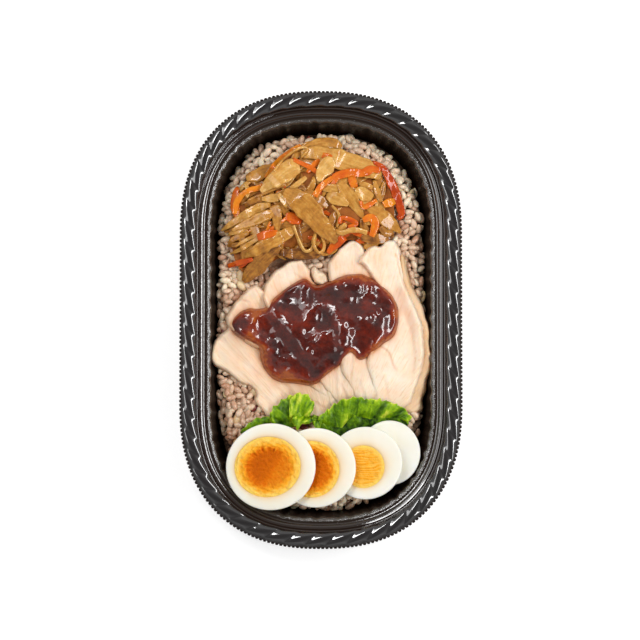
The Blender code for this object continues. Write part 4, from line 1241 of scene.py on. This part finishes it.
# The frills of each leaf: the line where the frill is held, its free edge, how far it stands
# up, how wavy it is, and how much lighter it is painted than the rest, painted shade below 0 for the lower
# layers.
FRILLS = {
    "lettuce_left": [
        ([(-40, -57), (-34, -55), (-28, -53.5), (-25, -53)],
         [(-40.2, -56), (-35.4, -51.4), (-31.5, -49.4), (-25.6, -48.6)], 1.0, 0.6, -0.1)],
    "lettuce_middle": [
        ([(-23, -54), (-17, -54), (-11, -53), (-7, -50)],
         [(-25, -50.5), (-24.6, -46), (-20.5, -41.5), (-15.2, -38.2), (-11, -37.2)], 2.2, 1.0, -0.1),
        ([(-16, -53), (-12, -50), (-9, -49), (-6, -50)],
         [(-15.6, -42), (-14.4, -38.6), (-11, -37.2), (-6.6, -38.4), (-4, -41.5), (-3.8, -45), (-6, -48)],
         3.4, 0.9, 0.08),
        ([(-13, -47), (-10, -47.5), (-6, -48), (-2.5, -48.5)],
         [(-14.6, -50.3), (-13, -52.6), (-11.6, -55), (-9.8, -52.8), (-6.6, -52), (-2.4, -50.2)], 3.6, 0.7, 0.0),
        ([(-4, -47.5), (-2.5, -48), (-0.5, -48.5)],
         [(-4.6, -50), (-2.8, -54.2), (-1.8, -55.6), (-0.2, -53), (0.4, -50)], 3.2, 0.4, 0.05)],
    "lettuce_right": [
        ([(0, -55), (9, -58), (18, -56), (28, -54.5), (37, -54), (43, -55)],
         [(-1.5, -51), (4, -50), (10, -48), (18, -47.5), (26, -47.5), (34, -47.5), (40, -48), (43.6, -51)],
         0.8, 0.5, -0.3),
        ([(-1, -51), (4, -54.6), (9, -55.6), (13, -52), (17, -49.8), (22, -49.9), (24.5, -51),
          (30.5, -49.9), (38, -49.8), (42.4, -51)],
         [(-1.6, -49.6), (3.4, -45.3), (9.2, -41), (15, -39.2), (20.5, -38.8), (25, -40.4), (29.6, -39.8),
          (35.2, -41.6), (40.6, -44), (44.6, -48), (43.8, -52.6)], 2.6, 1.1, 0.0)],
}
LEAF_TOP, LEAF_THICKNESS, LEAF_SPACING = 34.4, 0.4, 0.28


def make_frill(held, free, lift, wave, painted_light_and_shade, ground, seed):
    """A frilled sheet of leaf between the line where it is held and its free edge."""
    free = curve_through([(x, y, 0) for x, y in free], 0.1)[:, :2]
    length = np.append(0, np.cumsum(np.hypot(*np.diff(free, axis=0).T)))
    columns, rows = int(length[-1] / LEAF_SPACING) + 1, 22
    held = curve_through([(x, y, 0) for x, y in held], 0.1)[:, :2]
    deselect()
    bpy.ops.mesh.primitive_grid_add(x_subdivisions=columns, y_subdivisions=rows, size=2)
    leaf = bpy.context.object
    flat = points_of(leaf) * MM
    u, v = (flat[:, 0] + 1) / 2, (flat[:, 1] + 1) / 2
    along = u * length[-1]
    out = np.column_stack([np.interp(along, length, free[:, k]) for k in (0, 1)])
    base = np.column_stack([np.interp(u, np.linspace(0, 1, len(held)), held[:, k]) for k in (0, 1)])
    way = out - base
    way /= np.maximum(np.hypot(*way.T), 1e-6)[:, None]
    spots = np.column_stack([along, v * 5, np.full(len(along), seed * 9.0)])
    crimps = 0.5 * lumps(spots, 2.1, 4) + 0.35 * lumps(spots, 1.0, 9)
    ruffle = (0.45 * np.sin(along * 2 * math.pi / 13 + 3 * lumps(spots, 12.0))
              + 0.5 * lumps(spots, 4.5, 2) + crimps * (0.4 + 0.6 * v))
    notch = 1 - abs(((along + 1.5 * lumps(spots * (1, 0, 1), 4.0, 6)) / 2.3) % 2 - 1) * 2
    teeth = 0.55 * notch + 0.5 * lumps(spots, 1.0, 7) + 0.6 * lumps(spots * (1, 0, 1), 5.0, 9)
    plan = base * (1 - v)[:, None] + out * v[:, None]
    plan += way * ((teeth * v ** 6) * min(wave, 1.0))[:, None]
    side = np.column_stack([way[:, 1], -way[:, 0]])
    plan += side * (0.5 * wave * v ** 2 * lumps(spots, 3.0, 8))[:, None]
    floor = ground.blurred(1.0).between(plan[:, 0], plan[:, 1])
    height = 0.5 + lift * np.sin(v * 2.2) + wave * 1.1 * (0.25 + 0.75 * v) * ruffle
    points = np.column_stack([plan, np.minimum(floor + np.maximum(height, 0.3), LEAF_TOP)])
    set_points(leaf, points)
    vein = np.exp(-(((along + 4 * lumps(spots, 9.0, 5) + 4 * v) % 8 - 4) / 0.28) ** 2) * (1 - 0.7 * v)
    rim = 0.5 * v ** 26 + 0.4 * np.exp(-v / 0.035)
    fine = lumps(spots, 1.3, 11)
    # painted light and shade: the tone rises with each ruffle's height and from the held line towards the free
    # edge, and each frill's own shift darkens the lower layers; rim makes the free edge paler and paints a
    # highlight along the rolled held line
    tone = 0.42 + painted_light_and_shade + 0.1 * v + rim + 0.34 * ruffle + 0.24 * fine + 0.3 * vein
    mark(leaf, "tone", np.clip(tone, 0, 1))
    return leaf


def make_lettuce(ground, finish):
    for number, (name, frills) in enumerate(FRILLS.items()):
        leaves = [make_frill(*frill, ground, number * 5 + k) for k, frill in enumerate(frills)]
        leaf = joined(leaves, f"{name}_leaf")
        modify(leaf, "SOLIDIFY", thickness=LEAF_THICKNESS * MM, offset=0)
        done(leaf, finish, "lettuce", name)


# ---------------------------------------------------------------- egg

def disc_of(node_name):
    """Where a slice's upper face lies: its centre, its two half widths, its turn and its depth."""
    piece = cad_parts[node_name]
    points = points_of(piece)
    normal = Vector()
    for face in piece.data.polygons:
        if face.normal.z > 0.9:
            normal += face.normal * face.area
    normal.normalize()
    turn = normal.to_track_quat("Z", "Y").to_matrix()
    own = points @ np.array(turn)
    top = own[own[:, 2] > own[:, 2].max() - 0.1]
    low, high = top.min(axis=0), top.max(axis=0)
    depth = own[:, 2].max() - own[:, 2].min()
    centre = turn @ Vector(((low[0] + high[0]) / 2, (low[1] + high[1]) / 2, high[2]))
    return centre, (high - low)[:2] / 2, turn, depth


ROUND_COLUMNS = 144


def round_piece(name, centre, turn, rings):
    """A round piece through rings: half widths along X and Y, height, and shifts along X and Y."""
    deselect()
    bpy.ops.mesh.primitive_circle_add(vertices=ROUND_COLUMNS, radius=1.0)
    piece = bpy.context.object
    piece.name = name
    around = points_of(piece)[:, :2] * MM
    bpy.ops.object.mode_set(mode="EDIT")
    bpy.ops.mesh.select_all(action="SELECT")
    for _ in rings[1:]:
        bpy.ops.mesh.extrude_region_move()
    bpy.ops.object.mode_set(mode="OBJECT")
    rings = np.array([tuple(ring) + (0, 0)[:5 - len(ring)] for ring in rings])
    own = np.concatenate([np.column_stack([around * ring[:2] + ring[3:], np.full(ROUND_COLUMNS, ring[2])])
                          for ring in rings])
    set_points(piece, own @ np.array(turn).T + np.array(centre))
    return piece


def close_and_turn_out(piece):
    choose(piece)
    bpy.ops.object.mode_set(mode="EDIT")
    bpy.ops.mesh.select_all(action="SELECT")
    bpy.ops.mesh.remove_doubles(threshold=1e-6)
    bpy.ops.mesh.fill_holes(sides=0)
    bpy.ops.mesh.select_all(action="SELECT")
    bpy.ops.mesh.normals_make_consistent(inside=False)
    bpy.ops.object.mode_set(mode="OBJECT")


EGG_RIM = 0.6  # how much wider the white is than its upper face
YOLK_RINGS = 52
YOLK_TIP = 0.015  # the middle of a yolk, as a share of its width


def make_egg_white(number, finish):
    centre, half, turn, depth = disc_of(f"egg_white_{number}")
    yolk_centre, (hole_x, hole_y), _, _ = disc_of(f"egg_yolk_{number}")
    shift = turn.inverted() @ (yolk_centre - centre)
    wide, deep = half[0] + EGG_RIM - 0.2, half[1] + EGG_RIM + (0.6 if number == 1 else 0.2)
    # share of the way from the hole to the rim, outset from the rim, and height
    section = [(0, 0, -depth), (0, 0, -depth / 2), (0, 0, -0.12), (0.02, 0, 0)]
    section += [(k / 8, -0.7 * k / 8, 0.06 * math.sin(math.pi * k / 8)) for k in range(1, 9)]
    section += [(1, -0.4, -0.05), (1, -0.15, -0.2), (1, 0, -0.55), (1, 0, -depth * 0.5),
                (1, -0.5, -depth * 0.85), (1, -1.3, -depth), (0.5, -1.3, -depth), (0, 0, -depth)]
    rings = [(hole_x + (wide - hole_x) * share + out, hole_y + (deep - hole_y) * share + out, z,
              shift.x * (1 - share), shift.y * (1 - share)) for share, out, z in section]
    white = round_piece(f"egg_white_slice_{number}", centre, turn, rings)
    near_yolk = np.repeat([math.exp(-share * (wide - hole_x) / 1.7) for share, _, _ in section],
                          ROUND_COLUMNS)
    mark(white, "yolk_side", near_yolk)
    close_and_turn_out(white)
    done(white, finish, "egg_white", f"egg_white_{number}")


def make_yolk(number, finish):
    centre, (rx, ry), turn, depth = disc_of(f"egg_yolk_{number}")
    rings = [(rx * YOLK_TIP, ry * YOLK_TIP, 0.3 - depth), (rx * 0.5, ry * 0.5, 0.3 - depth),
             (rx, ry, 0.3 - depth), (rx, ry, -0.25)]
    shares = [1 - (1 - YOLK_TIP) * k / YOLK_RINGS for k in range(YOLK_RINGS + 1)]
    rings += [(rx * share, ry * share, 0.0) for share in shares]
    yolk = round_piece(f"egg_yolk_slice_{number}", centre, turn, rings)
    flat = points_of(yolk) - np.array(centre)
    own = flat @ np.array(turn)
    reach = np.hypot(own[:, 0] / rx, own[:, 1] / ry)
    angle = np.arctan2(flat[:, 1], flat[:, 0])
    spots = flat * (1, 1, 0)
    away = reach + 0.04 * lumps(spots, 5.0, number)
    crumbs = lumps(spots, 0.9, 4)
    turned = np.column_stack([np.cos(angle) * rx, np.sin(angle) * rx, reach * 0])
    if number == 3:
        lines = np.sin(2 * math.pi * (flat[:, 1] / 1.3 + 0.9 * lumps(spots, (5, 2.5, 1), 7)))
        relief = 0.16 * lines * (1 - eased(reach, 0.75, 1)) + 0.06 * crumbs
        ripe_and_shade = 0.24 * (1 - eased(reach, 0.7, 1)) + 0.09 * lines * (1 - eased(reach, 0.75, 1))
    else:
        rays = lumps(turned + np.array((0, 0, 1)) * (reach * rx / 2.6)[:, None], 1.0, 2)
        scales = lumps(turned / 2.2 + np.array((0, 0, 1)) * (reach * rx)[:, None], 0.85, 3)
        facing = 0.35 + 0.65 * np.clip(np.sin(angle - 0.5), 0, 1)
        crater = np.exp(-((away - 0.6) / 0.13) ** 2) * facing
        outer = eased(away, 0.55, 0.7)
        relief = 0.9 * crater * rays + 0.45 * outer * scales + 0.1 * crumbs
        relief -= 0.5 * (1 - eased(away, 0.45, 0.66))
        # painted shade: shade darkens the upper left, the crater's upper edge is painted as a darker ring, and
        # raised wrinkles are painted paler in place of their shading
        shade = 0.82 - 0.24 * eased(flat[:, 0] - 0.6 * flat[:, 1], -2, 7)
        ripe_and_shade = 0.32 * (1 - eased(away, 0.68, 1.02))
        ripe_and_shade += (shade - 0.32) * (1 - eased(away, 0.42, 0.95 - 0.2 * facing))
        ripe_and_shade += 0.14 * np.exp(-((away - 0.62) / 0.05) ** 2) * facing
        ripe_and_shade -= 0.4 * (0.5 * crater * rays + 0.3 * outer * scales)
        if number == 2:
            ripe_and_shade += 0.12 * (1 - eased(away, 0.7, 0.95))
    top = (own[:, 2] > -0.2) & (reach > 0)
    own[:, 2] += np.where(top, relief * eased(1 - reach, 0, 0.04), 0)
    set_points(yolk, own @ np.array(turn).T + np.array(centre))
    mark(yolk, "ripe_and_shade", ripe_and_shade)
    close_and_turn_out(yolk)
    done(yolk, finish, "egg_yolk", f"egg_yolk_{number}")


def make_eggs(white_finish, yolk_finish):
    for number in (1, 2, 3):
        make_egg_white(number, white_finish)
        make_yolk(number, yolk_finish)
    centre, half, turn, depth = disc_of("egg_white_4")
    section = [(0.01, 0.1), (0.4, 0.1), (0.7, 0.07), (0.9, 0.0), (0.97, -0.12), (1.0, -0.45), (1.0, -1.1),
               (0.95, -2.3), (0.82, -3.6), (0.6, -4.6), (0.3, 0.1 - depth), (0.01, 0.1 - depth)]
    cap = round_piece("egg_white_end", centre + Vector((-1.3, -0.5, 0)), turn,
                      [(half[0] * r * 1.04, half[1] * r, z) for r, z in section])
    mark(cap, "yolk_side", 0.0)
    close_and_turn_out(cap)
    done(cap, white_finish, "egg_white", "egg_white_4")


# ---------------------------------------------------------------- studio

CAMERA_DISTANCE, VIEW_WIDTH = 1.3, 0.3187  # metres
CAMERA_LIFT = 87  # degrees above the floor


def make_studio():
    deselect()
    bpy.ops.mesh.primitive_plane_add(size=3.0)
    floor = bpy.context.object
    floor.name = "floor"
    made, tree, shader, place = new_finish(
        "floor_white", Roughness=0.9, Emission_Color=(1, 1, 1, 1), Emission_Strength=0.42)
    mottle = use(tree, GRAIN, Place=place, Scale=8.0, Detail=2.0, Relief=0.0)
    tree.links.new(ramp(tree, mottle["Mask"], (0.0, 0.93), (1.0, 0.95)), shader.inputs["Base Color"])
    floor.data.materials.append(made)

    def softbox(name, place, size, power, target=(0, 0, 0.03)):
        light = bpy.data.lights.new(name, "AREA")
        light.shape = "RECTANGLE"
        light.size, light.size_y = size
        light.energy = power
        lamp = bpy.data.objects.new(name, light)
        lamp.location = place
        lamp.rotation_euler = (Vector(target) - Vector(place)).to_track_quat("-Z", "Y").to_euler()
        bpy.context.scene.collection.objects.link(lamp)

    softbox("light_left", (-0.63, 0.2, 0.94), (1.0, 0.34), 3.2)
    softbox("light_right", (0.8, 0.0, 0.8), (1.4, 0.17), 9.7)
    softbox("light_back", (-0.33, 0.42, 1.0), (0.45, 0.13), 3.0)
    world = bpy.data.worlds.new("studio_air")
    world.use_nodes = True
    tree = world.node_tree
    way = node(tree, "ShaderNodeTexCoord").outputs["Generated"]
    way = node(tree, "ShaderNodeSeparateXYZ", {"Vector": way})
    shade = ramp(tree, way.outputs["Z"], (0.0, 0.3), (0.3, 0.42), (0.7, 0.48), (0.9, 0.12), (1.0, 0.02))
    background = tree.nodes["Background"]
    tree.links.new(shade, background.inputs["Color"])
    background.inputs["Strength"].default_value = 1.0
    bpy.context.scene.world = world
    bpy.context.scene.view_settings.view_transform = "Standard"

    camera = bpy.data.cameras.new("camera")
    camera.sensor_width = 36
    camera.lens = camera.sensor_width * CAMERA_DISTANCE / VIEW_WIDTH
    eye = bpy.data.objects.new("camera", camera)
    lift = math.radians(CAMERA_LIFT)
    target = Vector((-0.00045, -0.0005, 0.027))
    eye.location = target + Vector((0, -math.cos(lift), math.sin(lift))) * CAMERA_DISTANCE
    eye.rotation_euler = (target - eye.location).to_track_quat("-Z", "Y").to_euler()
    bpy.context.scene.collection.objects.link(eye)
    bpy.context.scene.camera = eye


# ---------------------------------------------------------------- the meal

make_studio()
make_tray(tray_finish())
ground = Heights()
ground.add(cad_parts["tray"])
make_rice(ground, {
    # the rice core's dark colour is painted shade on its low parts
    "core": grain_finish("rice_core", linear(222, 176, 138), linear(58, 38, 26), 0.6, 0.1),
    "rice": grain_finish("rice_grain", linear(255, 234, 205), linear(172, 112, 76), 0.4, 0.4),
    "barley": grain_finish("barley_grain", linear(246, 220, 176), linear(206, 164, 112), 0.42, 0.3),
    "red": grain_finish("red_rice_grain", linear(150, 60, 50), linear(96, 30, 30), 0.4, 0.2),
})
make_heap(ground, {
    "core": strip_finish("heap_shade", [
        (0.0, linear(196, 120, 48)), (1.0, linear(150, 84, 30))], 0.0002, 0.0),
    "burdock": strip_finish("burdock", [
        (0.0, linear(234, 186, 112)), (0.25, linear(216, 160, 78)), (0.55, linear(190, 128, 48)),
        (0.85, linear(150, 94, 34)), (1.0, linear(108, 62, 20))], 0.0002, 0.6),
    "carrot": strip_finish("carrot", [
        (0.0, linear(232, 142, 26)), (0.4, linear(222, 108, 16)), (0.75, linear(204, 80, 6)),
        (1.0, linear(176, 56, 3))], 0.00012, 0.6),
})
make_chicken(ground, chicken_finish())
make_sauce(ground, sauce_finish())
make_lettuce(ground, leaf_finish())
make_eggs(egg_white_finish(), yolk_finish())
